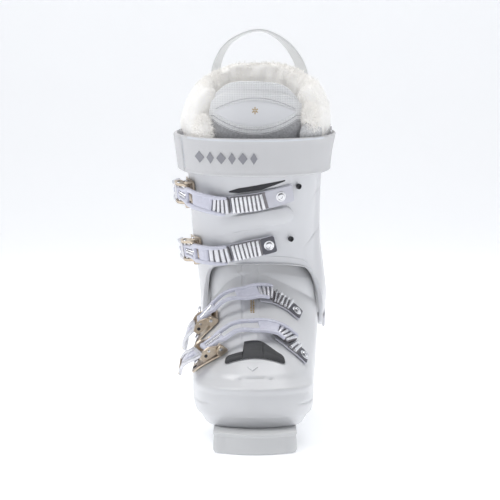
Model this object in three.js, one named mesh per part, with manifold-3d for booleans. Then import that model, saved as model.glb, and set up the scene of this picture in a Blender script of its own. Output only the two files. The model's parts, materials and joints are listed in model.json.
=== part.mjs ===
// Right-foot alpine ski boot, four buckles, overlap shell with a leaning cuff.
// Millimetres. +Z is up, the toe points to -Y, the wearer's outer (lateral) side is -X.
// The lower shell is the fixed body; the cuff, the four levers and the four bails move.

import * as THREE from 'three';
import { mergeVertices } from 'three/addons/utils/BufferGeometryUtils.js';
import Module from 'manifold-3d';

const wasm = await Module();
wasm.setup();

// ---------------------------------------------------------------- driving dimensions

const soleLength = 295;            // toe lug to heel lug
const soleWidth = 70;
const solePadThickness = 19;

const shellWall = 5;
const cuffWall = 4.5;
const fitGap = 0.4;                // between pieces that touch on the real boot
const ankleAxis = { y: 60, z: 92 };
const ringCount = 30;

// Lower shell, horizontal sections from the sole up. toe, ballOuter, ballInner, ankleOuter,
// ankleInner and heel are half widths at those places along the foot.
const shellLevels = [
  { z: 18, front: -122, rear: 130, toe: 36, ballOuter: 46, ballInner: 43, ankleOuter: 33, ankleInner: 33, heel: 28 },
  { z: 30, front: -129, rear: 136, toe: 41, ballOuter: 53, ballInner: 50, ankleOuter: 38, ankleInner: 38, heel: 32 },
  { z: 44, front: -131, rear: 139, toe: 41, ballOuter: 55, ballInner: 52, ankleOuter: 41, ankleInner: 42, heel: 34 },
  { z: 54, front: -127, rear: 139, toe: 38, ballOuter: 55, ballInner: 53, ankleOuter: 43, ankleInner: 46, heel: 35 },
  { z: 66, front: -111, rear: 137, toe: 35, ballOuter: 54, ballInner: 54, ankleOuter: 44, ankleInner: 50, heel: 35 },
  { z: 80, front: -90, rear: 132, toe: 31, ballOuter: 50, ballInner: 54, ankleOuter: 43, ankleInner: 55, heel: 34 },
  { z: 95, front: -66, rear: 124, toe: 27, ballOuter: 44, ballInner: 53, ankleOuter: 41, ankleInner: 57, heel: 31 },
  { z: 110, front: -43, rear: 112, toe: 24, ballOuter: 38, ballInner: 50, ankleOuter: 39, ankleInner: 56, heel: 26 },
  { z: 122, front: -28, rear: 103, toe: 21, ballOuter: 34, ballInner: 45, ankleOuter: 38, ankleInner: 51, heel: 22 },
  { z: 136, front: -15, rear: 98, toe: 18, ballOuter: 32, ballInner: 40, ankleOuter: 37, ankleInner: 46, heel: 20 },
  { z: 152, front: -7, rear: 94, toe: 17, ballOuter: 30, ballInner: 36, ankleOuter: 35, ankleInner: 42, heel: 20 },
];

// Cuff and everything that follows the leg, horizontal sections. widest is the y of the widest place.
const cuffLevels = [
  { z: 82, front: -14, rear: 129, outer: 51, inner: 64.5, widest: 60 },
  { z: 100, front: -14, rear: 124, outer: 51.5, inner: 66.7, widest: 58 },
  { z: 118, front: -16, rear: 119, outer: 52, inner: 67.5, widest: 54 },
  { z: 140, front: -19, rear: 113, outer: 54, inner: 65, widest: 49 },
  { z: 172, front: -26, rear: 105, outer: 58, inner: 61, widest: 41 },
  { z: 215, front: -37, rear: 95, outer: 61, inner: 61, widest: 31 },
  { z: 245, front: -45, rear: 89, outer: 63, inner: 63, widest: 23 },
  { z: 275, front: -53, rear: 84, outer: 66, inner: 67, widest: 15 },
  { z: 305, front: -59, rear: 77, outer: 57, inner: 62, widest: 8 },
  { z: 336, front: -64, rear: 70, outer: 48, inner: 57, widest: 2 },
];
const ovalPower = 2.3;

// Edges seen from the side as [y, z], lowest edge of the cuff and highest edge of the shell.
const cuffLowerEdge = [
  [-60, 146], [-12, 146], [2, 141], [18, 122], [32, 100], [46, 88], [62, 84], [78, 88], [92, 99], [108, 108], [160, 110],
];
const shellUpperEdge = [[-60, 150], [-2, 150], [22, 142], [42, 126], [62, 119], [90, 116], [160, 116]];
const cuffUpperEdge = [[-90, 252], [-45, 256], [20, 269], [110, 284]];

// The wide strap leans with the leg: its edges seen from the side.
const strapEdges = { lower: [[-90, 221], [110, 244]], upper: [[-90, 256], [110, 279]] };

// ---------------------------------------------------------------- colours

const finishes = {
  shellWhite: { color: 0xe4e6ea, roughness: 0.38, metalness: 0 },
  soleWhite: { color: 0xd9dbdf, roughness: 0.55, metalness: 0 },
  rubberGrey: { color: 0x505154, roughness: 0.75, metalness: 0 },
  strapGrey: { color: 0xc9cacd, roughness: 0.6, metalness: 0 },
  linerGrey: { color: 0xcdced0, roughness: 0.85, metalness: 0 },
  furCream: { color: 0xf1eeea, roughness: 0.95, metalness: 0 },
  chrome: { color: 0xc8ccd2, roughness: 0.18, metalness: 1 },
  champagne: { color: 0xb59c7b, roughness: 0.3, metalness: 1 },
  bailWhite: { color: 0xe2e2f0, roughness: 0.35, metalness: 0 },
  darkCore: { color: 0x3c3d40, roughness: 0.7, metalness: 0 },
};

const boot = new THREE.Group();

function addPiece(name, geometry, finish) {
  const mesh = new THREE.Mesh(geometry, new THREE.MeshStandardMaterial(finishes[finish]));
  mesh.name = name;
  boot.add(mesh);
  return mesh;
}

// ---------------------------------------------------------------- solids and booleans

function toSolid(geometry) {
  const bare = geometry.clone();
  bare.deleteAttribute('normal');
  bare.deleteAttribute('uv');
  const merged = mergeVertices(bare, 1e-4);
  return new wasm.Manifold(new wasm.Mesh({
    numProp: 3,
    vertProperties: new Float32Array(merged.attributes.position.array),
    triVerts: new Uint32Array(merged.index.array),
  }));
}

function toGeometry(solid) {
  const mesh = solid.getMesh();
  const geometry = new THREE.BufferGeometry();
  geometry.setAttribute('position', new THREE.BufferAttribute(new Float32Array(mesh.vertProperties), 3));
  geometry.setIndex(new THREE.BufferAttribute(new Uint32Array(mesh.triVerts), 1));
  return geometry;
}

function joined(...geometries) {
  return toGeometry(geometries.map(toSolid).reduce((sum, solid) => sum.add(solid)));
}

function cut(geometry, ...cutters) {
  return toGeometry(cutters.map(toSolid).reduce((left, solid) => left.subtract(solid), toSolid(geometry)));
}

function signedVolume(points, triangles) {
  let total = 0;
  for (let i = 0; i < triangles.length; i += 3) {
    const [a, b, c] = [points[triangles[i]], points[triangles[i + 1]], points[triangles[i + 2]]];
    total += a.dot(new THREE.Vector3().crossVectors(b, c)) / 6;
  }
  return total;
}

// The two end faces of a loft, triangulated in the plane they lie closest to.
function capTriangles(ring) {
  const normal = new THREE.Vector3();
  ring.forEach((point, i) => normal.add(new THREE.Vector3().crossVectors(point, ring[(i + 1) % ring.length])));
  normal.normalize();
  const across = new THREE.Vector3(Math.abs(normal.x) < 0.9 ? 1 : 0, Math.abs(normal.x) < 0.9 ? 0 : 1, 0);
  across.cross(normal).normalize();
  const along = new THREE.Vector3().crossVectors(normal, across);
  const flat = ring.map((point) => new THREE.Vector2(point.dot(across), point.dot(along)));
  return THREE.ShapeUtils.triangulateShape(flat, []);
}

// A closed solid through rings of equal point count.
function loft(rings) {
  const count = rings[0].length;
  const points = rings.flat();
  const triangles = [];
  for (let level = 0; level < rings.length - 1; level += 1) {
    for (let i = 0; i < count; i += 1) {
      const a = level * count + i;
      const b = level * count + ((i + 1) % count);
      triangles.push(a, b, b + count, a, b + count, a + count);
    }
  }
  const last = (rings.length - 1) * count;
  const firstCap = capTriangles(rings[0]);
  const lastCap = capTriangles(rings[rings.length - 1]);
  const firstEdge = new Set(ringEdges(count));
  addCap(triangles, firstCap, 0, firstEdge, true);
  addCap(triangles, lastCap, last, firstEdge, false);
  if (signedVolume(points, triangles) < 0) {
    for (let i = 0; i < triangles.length; i += 3) {
      [triangles[i + 1], triangles[i + 2]] = [triangles[i + 2], triangles[i + 1]];
    }
  }
  const geometry = new THREE.BufferGeometry().setFromPoints(points);
  geometry.setIndex(triangles);
  return geometry;
}

function ringEdges(count) {
  return Array.from({ length: count }, (_, i) => `${i},${(i + 1) % count}`);
}

// The side faces run along the ring on the first end and against it on the last, so each cap is
// turned until it meets them.
function addCap(triangles, cap, offset, forwardEdges, isFirst) {
  const runsForward = cap.some(([a, b, c]) => (
    forwardEdges.has(`${a},${b}`) || forwardEdges.has(`${b},${c}`) || forwardEdges.has(`${c},${a}`)
  ));
  const flip = runsForward === isFirst;
  cap.forEach(([a, b, c]) => {
    triangles.push(offset + a, offset + (flip ? c : b), offset + (flip ? b : c));
  });
}

// A slab whose outline is drawn in the side view (y, z) and which runs across the boot in x.
function sideSlab(outline, xFrom = -120, xTo = 120) {
  return loft([xFrom, xTo].map((x) => outline.map(([y, z]) => new THREE.Vector3(x, y, z))));
}

function smoothEdge(points, count = 14) {
  const curve = new THREE.CatmullRomCurve3(points.map(([y, z]) => new THREE.Vector3(0, y, z)), false, 'centripetal');
  return curve.getPoints(count).map((point) => [point.y, point.z]);
}

const below = (edge) => sideSlab([...smoothEdge(edge), [edge.at(-1)[0], -60], [edge[0][0], -60]]);
const above = (edge) => sideSlab([...smoothEdge(edge), [edge.at(-1)[0], 420], [edge[0][0], 420]]);

// ---------------------------------------------------------------- the two guiding surfaces

// Every number of a level, smoothly between the tabulated heights.
function levelAt(levels, z) {
  let i = 0;
  while (i < levels.length - 2 && z > levels[i + 1].z) i += 1;
  const [before, low, high, after] = [levels[Math.max(i - 1, 0)], levels[i], levels[i + 1],
    levels[Math.min(i + 2, levels.length - 1)]];
  const span = high.z - low.z;
  const t = (z - low.z) / span;
  const level = {};
  for (const key of Object.keys(low)) {
    const startSlope = ((high[key] - before[key]) / (high.z - before.z)) * span;
    const endSlope = ((after[key] - low[key]) / (after.z - low.z)) * span;
    level[key] = (2 * t ** 3 - 3 * t ** 2 + 1) * low[key] + (t ** 3 - 2 * t ** 2 + t) * startSlope
      + (3 * t ** 2 - 2 * t ** 3) * high[key] + (t ** 3 - t ** 2) * endSlope;
  }
  level.z = z;
  return level;
}

// Shell outline at height z, moved inwards by inset; the roof slopes, so the front moves further.
function shellCurve(z, inset = 0) {
  const level = levelAt(shellLevels, z);
  const front = level.front + inset * (z > 50 ? 1.7 : 1.2);
  const rear = level.rear - inset;
  const length = rear - front;
  const toe = level.toe - inset * 0.8;
  const heel = level.heel - inset * 0.8;
  const stations = {
    toe: front + 0.42 * toe, ball: front + 0.31 * length, ankle: front + 0.62 * length, heel: rear - 0.42 * heel,
  };
  const outline = [
    [0, front], [toe, stations.toe], [level.ballInner - inset, stations.ball],
    [level.ankleInner - inset, stations.ankle], [heel, stations.heel], [0, rear],
    [-heel, stations.heel], [inset - level.ankleOuter, stations.ankle],
    [inset - level.ballOuter, stations.ball], [-toe, stations.toe],
  ];
  return new THREE.CatmullRomCurve3(outline.map(([x, y]) => new THREE.Vector3(x, y, z)), true, 'centripetal');
}

// place runs round the shell: 0 toe tip, positive towards the inner side, 0.5 heel, -0.25 outer side.
const shellPoint = (place, z, inset = 0) => shellCurve(z, inset).getPoint(((place % 1) + 1) % 1);

function signedPower(value, power) {
  return Math.sign(value) * Math.abs(value) ** power;
}

// place is an angle in degrees round the leg: 0 inner side, 90 rear, 180 outer side, 270 front.
function cuffPoint(place, z, inset = 0) {
  const level = levelAt(cuffLevels, z);
  const angle = THREE.MathUtils.degToRad(place);
  const width = (Math.cos(angle) > 0 ? level.inner : level.outer) - inset;
  const depth = (Math.sin(angle) > 0 ? level.rear - level.widest : level.widest - level.front) - inset;
  return new THREE.Vector3(
    width * signedPower(Math.cos(angle), 2 / ovalPower),
    level.widest + depth * signedPower(Math.sin(angle), 2 / ovalPower),
    z,
  );
}

const shellRing = (z, inset) => shellCurve(z, inset).getPoints(ringCount).slice(0, ringCount);
const cuffRing = (z, inset, count = ringCount) => (
  Array.from({ length: count }, (_, i) => cuffPoint((360 * (i + 0.5)) / count, z, inset))
);

const heights = (from, to, steps) => Array.from({ length: steps + 1 }, (_, i) => from + ((to - from) * i) / steps);

// A piece of wall that follows one of the surfaces between two places, closed at both ends.
function wallPiece(surface, placeFrom, placeTo, levels, steps = 14) {
  const places = heights(placeFrom, placeTo, steps);
  return loft(levels.map(({ z, outside, inside }) => [
    ...places.map((place) => surface(place, z, outside)),
    ...places.toReversed().map((place) => surface(place, z, inside)),
  ]));
}

// ---------------------------------------------------------------- strips that lie on a surface

const probe = { place: 1e-3, z: 0.5 };

function surfaceFrame(surface, place, z, placeScale) {
  const step = probe.place * placeScale;
  const around = surface(place + step, z).sub(surface(place - step, z));
  const upwards = surface(place, z + probe.z).sub(surface(place, z - probe.z));
  return { point: surface(place, z), normal: around.cross(upwards).normalize() };
}

// A path over a surface through stops of [place, z], from the outer side to the inner side,
// measured in millimetres from the place where x equals zeroAtX.
function makeRoute(surface, stops, zeroAtX, placeScale) {
  const plan = new THREE.CatmullRomCurve3(
    stops.map(([place, z]) => new THREE.Vector3(place / placeScale, z / 100, 0)),
    false,
    'centripetal',
  );
  const samples = plan.getPoints(160).map(({ x, y }) => surfaceFrame(surface, x * placeScale, y * 100, placeScale));
  const reach = [0];
  for (let i = 1; i < samples.length; i += 1) {
    reach.push(reach[i - 1] + samples[i].point.distanceTo(samples[i - 1].point));
  }
  const reachAtX = (x) => reach[Math.max(samples.findLastIndex(({ point }) => point.x < x), 0)];
  const zero = reachAtX(zeroAtX);
  const frameAt = (distance) => {
    const target = THREE.MathUtils.clamp(distance + zero, 0, reach.at(-1));
    const i = Math.min(Math.max(reach.findIndex((value) => value >= target), 1), samples.length - 1);
    const t = (target - reach[i - 1]) / (reach[i] - reach[i - 1]);
    const point = samples[i - 1].point.clone().lerp(samples[i].point, t);
    const normal = samples[i - 1].normal.clone().lerp(samples[i].normal, t).normalize();
    const forward = samples[i].point.clone().sub(samples[i - 1].point);
    forward.addScaledVector(normal, -forward.dot(normal)).normalize();
    return { point, normal, forward, side: new THREE.Vector3().crossVectors(normal, forward) };
  };
  return { frameAt, distanceAtX: (x) => reachAtX(x) - zero };
}

// The same route, straight through its zero point, as a rigid lever and bail need it, and easing
// back to the wall further out.
const straightReach = { inner: 15, outer: 36 };

function straightened(route) {
  const middle = route.frameAt(0);
  const frameAt = (distance) => {
    const wall = route.frameAt(distance);
    const ease = THREE.MathUtils.smoothstep(Math.abs(distance), straightReach.inner, straightReach.outer);
    const straightPoint = middle.point.clone().addScaledVector(middle.forward, distance);
    const normal = middle.normal.clone().lerp(wall.normal, ease).normalize();
    const forward = middle.forward.clone().lerp(wall.forward, ease);
    forward.addScaledVector(normal, -forward.dot(normal)).normalize();
    const point = straightPoint.lerp(wall.point, ease);
    return { point, normal, forward, side: new THREE.Vector3().crossVectors(normal, forward) };
  };
  return { frameAt, distanceAtX: route.distanceAtX };
}

const placeIn = ({ point, normal, side, forward }, along, across, up) => (
  point.clone().addScaledVector(forward, along).addScaledVector(side, across).addScaledVector(normal, up)
);

// A bar of four-cornered section along a route. Each station gives the distance, the heights of
// its two faces over the surface, and its half width.
function strip(route, stations, stepLength = 8) {
  const rings = [];
  stations.forEach((station, i) => {
    const next = stations[i + 1];
    const steps = next ? Math.max(1, Math.round((next.at - station.at) / stepLength)) : 1;
    for (let k = 0; k < (next ? steps : 1); k += 1) {
      const t = next ? k / steps : 0;
      const mix = (key) => (next ? station[key] + (next[key] - station[key]) * t : station[key]);
      const frame = route.frameAt(mix('at'));
      const [low, high, half] = [mix('low'), mix('high'), mix('half')];
      rings.push([[-half, low], [half, low], [half, high], [-half, high]].map(([across, up]) => (
        placeIn(frame, 0, across, up)
      )));
    }
  });
  return loft(rings);
}

// A solid whose outline is drawn in the (along, up) plane of a frame and which runs across it.
function crossSlab(frame, outline, acrossFrom, acrossTo) {
  return loft([acrossFrom, acrossTo].map((across) => outline.map(([along, up]) => placeIn(frame, along, across, up))));
}

const circle = (along, up, radius, sides = 8) => Array.from({ length: sides }, (_, i) => {
  const angle = (2 * Math.PI * i) / sides;
  return [along + radius * Math.cos(angle), up + radius * Math.sin(angle)];
});

// A round head or shank standing on a frame.
function disc(frame, along, radius, low, high, sides = 12) {
  return loft([low, high].map((up) => Array.from({ length: sides }, (_, i) => {
    const angle = (2 * Math.PI * i) / sides;
    return placeIn(frame, along + radius * Math.cos(angle), radius * Math.sin(angle), up);
  })));
}

// ---------------------------------------------------------------- lower shell and soles

const shellHeights = [18, 30, 44, 54, 66, 80, 95, 110, 124, 151];
const floorHeight = 24;

function ankleBore(radius, xFrom, xTo) {
  return loft([xFrom, xTo].map((x) => circle(ankleAxis.y, ankleAxis.z, radius, 16).map(([y, z]) => (
    new THREE.Vector3(x, y, z)))));
}

const pivotRadius = 4;
const pivotHole = pivotRadius + 0.5;

function makeLowerShell() {
  const skin = loft(shellHeights.map((z) => shellRing(z, 0)));
  const cavityHeights = [floorHeight, ...shellHeights.filter((z) => z > floorHeight + 1), 158];
  const cavity = loft(cavityHeights.map((z) => shellRing(z, shellWall)));
  return cut(skin, cavity, above(shellUpperEdge), ankleBore(pivotHole, -60, 80));
}
addPiece('lower_shell', makeLowerShell(), 'shellWhite');

// One walking pad seen from above: straight sides, rounded corners, and an end that bows out by endBow.
const soleCorner = 9;
function solePad(end, length, endBow) {
  const half = soleWidth / 2;
  const tip = (end * soleLength) / 2;
  const shoulder = tip - end * (endBow + soleCorner);
  const root = tip - end * length;
  const corner = tip - end * endBow;
  const outline = new THREE.Shape();
  outline.moveTo(-half, root);
  outline.lineTo(-half, shoulder);
  outline.quadraticCurveTo(-half, corner, soleCorner - half, corner);
  outline.quadraticCurveTo(0, tip + end * endBow, half - soleCorner, corner);
  outline.quadraticCurveTo(half, corner, half, shoulder);
  outline.lineTo(half, root);
  outline.closePath();
  const depth = solePadThickness - 1 - fitGap;
  return new THREE.ExtrudeGeometry(outline, { depth, bevelEnabled: false, curveSegments: 8 });
}

const screwPlace = { along: 30, across: 20 };
const screwRadius = 3.5;

function soleScrewHole(x, y) {
  const hole = new THREE.CylinderGeometry(screwRadius + 0.4, screwRadius + 0.4, 12, 12);
  return hole.rotateX(Math.PI / 2).translate(x, y, 0);
}

for (const [name, end, length, bow] of [['toe', -1, 96, 7], ['heel', 1, 84, 5]]) {
  const y = end * (soleLength / 2 - screwPlace.along);
  const holes = [-screwPlace.across, screwPlace.across].map((x) => soleScrewHole(x, y));
  addPiece(`${name}_sole_pad`, cut(solePad(end, length, bow), ...holes), 'soleWhite');
  for (const [sideName, x] of [['outer', -screwPlace.across], ['inner', screwPlace.across]]) {
    const screw = new THREE.CylinderGeometry(screwRadius, screwRadius, 3.6, 12);
    addPiece(`${name}_sole_screw_${sideName}`, screw.rotateX(Math.PI / 2).translate(x, y, 3.8), 'chrome');
  }
}

// The rubber crescent over the toe end of the overlap: an arch whose two ends point down.
function makeThroatGaiter() {
  const reach = 0.072;
  const columns = heights(-reach, reach, 12);
  return loft(columns.map((place) => {
    const fade = 1 - (place / reach) ** 2;
    const lowZ = 68 + 5.5 * fade;
    const highZ = 75.5 + 10 * fade;
    const at = (z, up) => {
      const frame = surfaceFrame(shellPoint, place, z, 1);
      return frame.point.addScaledVector(frame.normal, up);
    };
    return [at(lowZ, 0.5), at((lowZ + highZ) / 2, 0.5), at(highZ, 0.5), at(highZ, 1.6), at((lowZ + highZ) / 2, 2.6),
      at(lowZ, 1.6)];
  }));
}
addPiece('throat_gaiter', makeThroatGaiter(), 'rubberGrey');

// ---------------------------------------------------------------- inside the shell

const board = { low: floorHeight + fitGap, high: 28 };
addPiece('boot_board', loft([board.low, board.high].map((z) => shellRing(z, shellWall + 1.6))), 'darkCore');

const linerInset = { outside: shellWall + 0.8, inside: 13.5 };
const linerFloor = 33;
const linerFootTop = [[-60, 149], [0, 149], [30, 139], [60, 122], [120, 112]];
const tongueSlot = { place: 0.108, from: 90 };

function makeLinerFoot() {
  const skinHeights = [board.high + fitGap, 44, 54, 66, 80, 95, 110, 124, 151];
  const skin = loft(skinHeights.map((z) => shellRing(z, linerInset.outside)));
  const roomHeights = [linerFloor, 44, 54, 66, 80, 95, 110, 124, 156];
  const room = loft(roomHeights.map((z) => shellRing(z, linerInset.inside)));
  const slot = wallPiece(shellPoint, -tongueSlot.place, tongueSlot.place, [
    { z: tongueSlot.from, outside: 2, inside: 20 }, { z: 120, outside: 2, inside: 20 },
    { z: 158, outside: 2, inside: 18 },
  ], 8);
  return cut(skin, room, slot, above(linerFootTop));
}
addPiece('liner_foot', makeLinerFoot(), 'linerGrey');
addPiece('footbed', loft([linerFloor + fitGap, linerFloor + 4].map((z) => shellRing(z, linerInset.inside + 1.2))), 'furCream');

const tongueLowerLevels = heights(94, 148, 6).map((z) => ({ z, outside: 6.2, inside: 11 }));
addPiece('tongue_lower', wallPiece(shellPoint, -0.094, 0.094, tongueLowerLevels, 8), 'linerGrey');

// ---------------------------------------------------------------- cuff and what it carries

const cuffHeights = [82, 100, 118, 140, 172, 215, 245, 275, 292];

function hollowLeg(levels, outside, inside) {
  const skin = loft(levels.map((z) => cuffRing(z, outside)));
  const roomLevels = [levels[0] - 6, ...levels.slice(1, -1), levels.at(-1) + 6];
  return cut(skin, loft(roomLevels.map((z) => cuffRing(z, inside))));
}

addPiece('cuff', cut(
  hollowLeg(cuffHeights, 0, cuffWall),
  below(cuffLowerEdge),
  above(cuffUpperEdge),
  ankleBore(pivotHole, -80, 90),
), 'shellWhite');

const legLiner = { outside: cuffWall + 0.7, inside: 14.5 };
const legLinerLower = [[-90, 178], [-20, 172], [20, 156], [60, 140], [130, 132]];
const frontGap = { from: 225, to: 315 };

const frontSlot = wallPiece(cuffPoint, frontGap.from, frontGap.to, [
  { z: 110, outside: -8, inside: 26 }, { z: 172, outside: -8, inside: 26 },
  { z: 245, outside: -8, inside: 26 }, { z: 345, outside: -8, inside: 26 },
]);

addPiece('liner_cuff', cut(
  hollowLeg([118, 140, 172, 215, 245, 275, 292], legLiner.outside, legLiner.inside),
  below(legLinerLower),
  above(cuffUpperEdge),
  frontSlot,
), 'linerGrey');

const tongueUpperLevels = [180, 215, 245, 275, 292, 303, 311].map((z) => ({
  z, outside: z > 300 ? 9 : 6, inside: z > 300 ? 12 : 13,
}));
addPiece('tongue_upper', wallPiece(cuffPoint, frontGap.from + 3, frontGap.to - 3, tongueUpperLevels), 'linerGrey');

// The fur roll stands on the rim of the cuff and the leg liner, open at the front for the tongue. It
// is highest behind the calf and falls away to the sides and the two front ends.
const furLevels = [
  { z: 262, outside: 2, inside: 14 }, { z: 272, outside: 1, inside: 16 }, { z: 288, outside: -1, inside: 18 },
  { z: 305, outside: -2, inside: 19 }, { z: 320, outside: 0, inside: 18 }, { z: 329, outside: 3, inside: 15 },
  { z: 333, outside: 7, inside: 11 },
];
const furRim = cuffUpperEdge.map(([y, z]) => [y, z + 0.6]);
const furFall = { foot: 262, side: 0.76, end: 0.62 };

function furHeight(place, z) {
  const away = Math.abs(place - 90);
  const share = away < 90
    ? THREE.MathUtils.lerp(1, furFall.side, THREE.MathUtils.smoothstep(away, 15, 90))
    : THREE.MathUtils.lerp(furFall.side, furFall.end, (away - 90) / 42);
  return furFall.foot + (z - furFall.foot) * share;
}

function makeFurCollar() {
  const places = heights(frontGap.to + 3 - 360, frontGap.from - 3, 22);
  const roll = loft(furLevels.map(({ z, outside, inside }) => [
    ...places.map((place) => cuffPoint(place, furHeight(place, z), outside)),
    ...places.toReversed().map((place) => cuffPoint(place, furHeight(place, z), inside)),
  ]));
  return cut(roll, below(furRim));
}
addPiece('fur_collar', makeFurCollar(), 'furCream');

// Webbing arch behind the collar. Each stop: x, y, z and the direction of the webbing's width.
const loopStops = [
  [-37, 76, 289, 52], [-38, 76, 312, 54], [-36, 76, 334, 62], [-24, 75, 354, 76],
  [3, 73.5, 365, 92], [27.5, 71.5, 354, 114], [42, 70, 334, 126], [47, 69, 312, 131], [46, 69, 289, 132],
];
const loopWidth = 15;
const loopThickness = 2;

function makePullLoop() {
  const centre = new THREE.CatmullRomCurve3(loopStops.map(([x, y, z]) => new THREE.Vector3(x, y, z)));
  const turn = new THREE.CatmullRomCurve3(loopStops.map((stop) => new THREE.Vector3(stop[3], 0, 0)));
  return loft(heights(0, 1, 20).map((t) => {
    const point = centre.getPoint(t);
    const angle = THREE.MathUtils.degToRad(turn.getPoint(t).x);
    const width = new THREE.Vector3(Math.cos(angle), Math.sin(angle), 0);
    const thickness = new THREE.Vector3().crossVectors(centre.getTangent(t), width).normalize();
    const corners = [[-1, -1], [1, -1], [1, 1], [-1, 1]];
    return corners.map(([across, up]) => point.clone()
      .addScaledVector(width, (across * loopWidth) / 2)
      .addScaledVector(thickness, (up * loopThickness) / 2));
  }));
}
addPiece('pull_loop', makePullLoop(), 'strapGrey');

const strap = { stand: 5, thickness: 3 };
addPiece('power_strap', cut(
  hollowLeg([210, 230, 245, 262, 276, 282], -strap.stand - strap.thickness, -strap.stand),
  below(strapEdges.lower),
  above(strapEdges.upper),
), 'strapGrey');

// The wire keeper at the top edge of the strap on the inner side.
const keeper = new THREE.TorusGeometry(5.5, 0.9, 6, 16).rotateY(Math.PI / 2).translate(69.2, 8, 268.5);
addPiece('strap_keeper', keeper, 'chrome');

const strapRivetFrame = makeRoute(cuffPoint, [[120, 245], [90, 245], [60, 245]], 0, 360).frameAt(0);
addPiece('strap_rivet', disc(strapRivetFrame, 0, 6, strap.stand + strap.thickness + 0.4, 10.4), 'chrome');

for (const [name, z] of [['lower', 124], ['upper', 152]]) {
  const frame = makeRoute(cuffPoint, [[120, z], [90, z], [60, z]], 0, 360).frameAt(0);
  addPiece(`spine_bolt_${name}`, disc(frame, 0, 6, 0.6, 3.4), 'chrome');
}

function pivotRivet(sign, wallX, tipX) {
  const profile = [[0, tipX], [pivotRadius, tipX], [pivotRadius, wallX + 0.8], [10, wallX + 0.8], [8.5, wallX + 3.2],
    [0, wallX + 3.2]];
  const lathe = new THREE.LatheGeometry(profile.map(([r, h]) => new THREE.Vector2(r, h)), 18);
  return lathe.rotateZ((-sign * Math.PI) / 2).translate(0, ankleAxis.y, ankleAxis.z);
}
const pivotLevel = levelAt(cuffLevels, ankleAxis.z);
addPiece('pivot_rivet_outer', pivotRivet(-1, pivotLevel.outer, 39.5), 'chrome');
addPiece('pivot_rivet_inner', pivotRivet(1, pivotLevel.inner, 53.5), 'chrome');

// ---------------------------------------------------------------- buckles

// All heights are over the wall, all distances are along the route from the hinge pin: negative
// towards the tip of the closed lever, positive towards the toothed ladder.
const hinge = { up: 6.5, radius: 1.5, hole: 1.9 };
const bailPivot = { along: -9, up: 11, radius: 1.3, hole: 1.7 };
const base = { low: 0.7, high: 2.5, half: 11, earInner: 10.3, earOuter: 12.2 };
const lever = { cheekInner: 7.4, cheekOuter: 9.6, plateLow: 10.8, plateHigh: 13, plateStart: -14.8 };
const bail = { half: 6, wideHalf: 8.4 };
const ladder = { low: 1, valley: 3.4, crest: 5.6, half: 8.4, pitch: 4 };

const leverCheek = [
  [-18, 6.5], [-18, 11.5], [-15, 13], [-12, 13.6], [-7.5, 13.4], [-1.2, 9.7], [2.3, 8.8], [3.3, 6.5],
  [2.3, 4.1], [0, 3.3], [-4, 4], [-12, 5],
];

function makeBase(route, frame, rootLength) {
  const plate = strip(route, [
    { at: -rootLength, low: base.low, high: base.high, half: base.half - 3 },
    { at: -rootLength + 6, low: base.low, high: base.high, half: base.half },
    { at: 4.5, low: base.low, high: base.high, half: base.earOuter },
  ]);
  const earOutline = [[-5, 1.6], [4.5, 1.6], [3.4, 7.5], [1.4, 9.2], [-1.4, 9.2], [-3.4, 7.5]];
  const ears = [-1, 1].map((s) => crossSlab(frame, earOutline, s * base.earInner, s * base.earOuter));
  const bore = crossSlab(frame, circle(0, hinge.up, hinge.hole), -20, 20);
  return cut(joined(plate, ...ears), bore);
}

function makeLever(route, frame, length) {
  const plate = strip(route, [
    { at: -length, low: lever.plateLow - 1, high: lever.plateHigh - 1, half: 5 },
    { at: -length + 5, low: lever.plateLow, high: lever.plateHigh, half: 8 },
    { at: lever.plateStart, low: lever.plateLow, high: lever.plateHigh, half: lever.cheekOuter - 0.3 },
  ]);
  const cheeks = [-1, 1].map((s) => (
    crossSlab(frame, leverCheek, s * lever.cheekInner, s * lever.cheekOuter)));
  const bores = [
    crossSlab(frame, circle(0, hinge.up, hinge.hole), -20, 20),
    crossSlab(frame, circle(bailPivot.along, bailPivot.up, bailPivot.hole), -20, 20),
  ];
  return cut(joined(plate, ...cheeks), ...bores);
}

function makeBail(route, frame, hookStart) {
  const body = strip(route, [
    { at: bailPivot.along - 2.6, low: 8.7, high: 12.8, half: bail.half },
    { at: 3, low: 8.7, high: 12, half: bail.half },
    { at: 7, low: 8, high: 11, half: bail.wideHalf },
    { at: hookStart, low: 6.2, high: 8.8, half: bail.wideHalf },
  ]);
  const window = strip(route, [
    { at: 9, low: 2, high: 16, half: bail.wideHalf - 3.4 },
    { at: Math.max(hookStart - 6, 13), low: 2, high: 16, half: bail.wideHalf - 3.4 },
  ]);
  const bore = crossSlab(frame, circle(bailPivot.along, bailPivot.up, bailPivot.hole), -20, 20);
  return cut(body, window, bore);
}

function makeHook(route, from, to) {
  const stations = [
    { at: from - 5, low: 3.5, high: 5.6, half: 6 }, { at: from + 0.6, low: 3.5, high: 5.6, half: 6 },
    { at: from + 1, low: 3.5, high: 8.2, half: 8 },
  ];
  const ribs = 4;
  const pitch = (to - from - 1.2) / ribs;
  for (let i = 0; i < ribs; i += 1) {
    const start = from + 1.2 + i * pitch;
    stations.push({ at: start + pitch * 0.5, low: 3.5, high: 8, half: 8 });
    stations.push({ at: start + pitch * 0.62, low: 3.5, high: 6.4, half: 8 });
    stations.push({ at: start + pitch * 0.94, low: 3.5, high: 6.4, half: 8 });
    stations.push({ at: start + pitch, low: 3.5, high: i < ribs - 1 ? 8 : 6, half: 8 });
  }
  return strip(route, stations);
}

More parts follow.
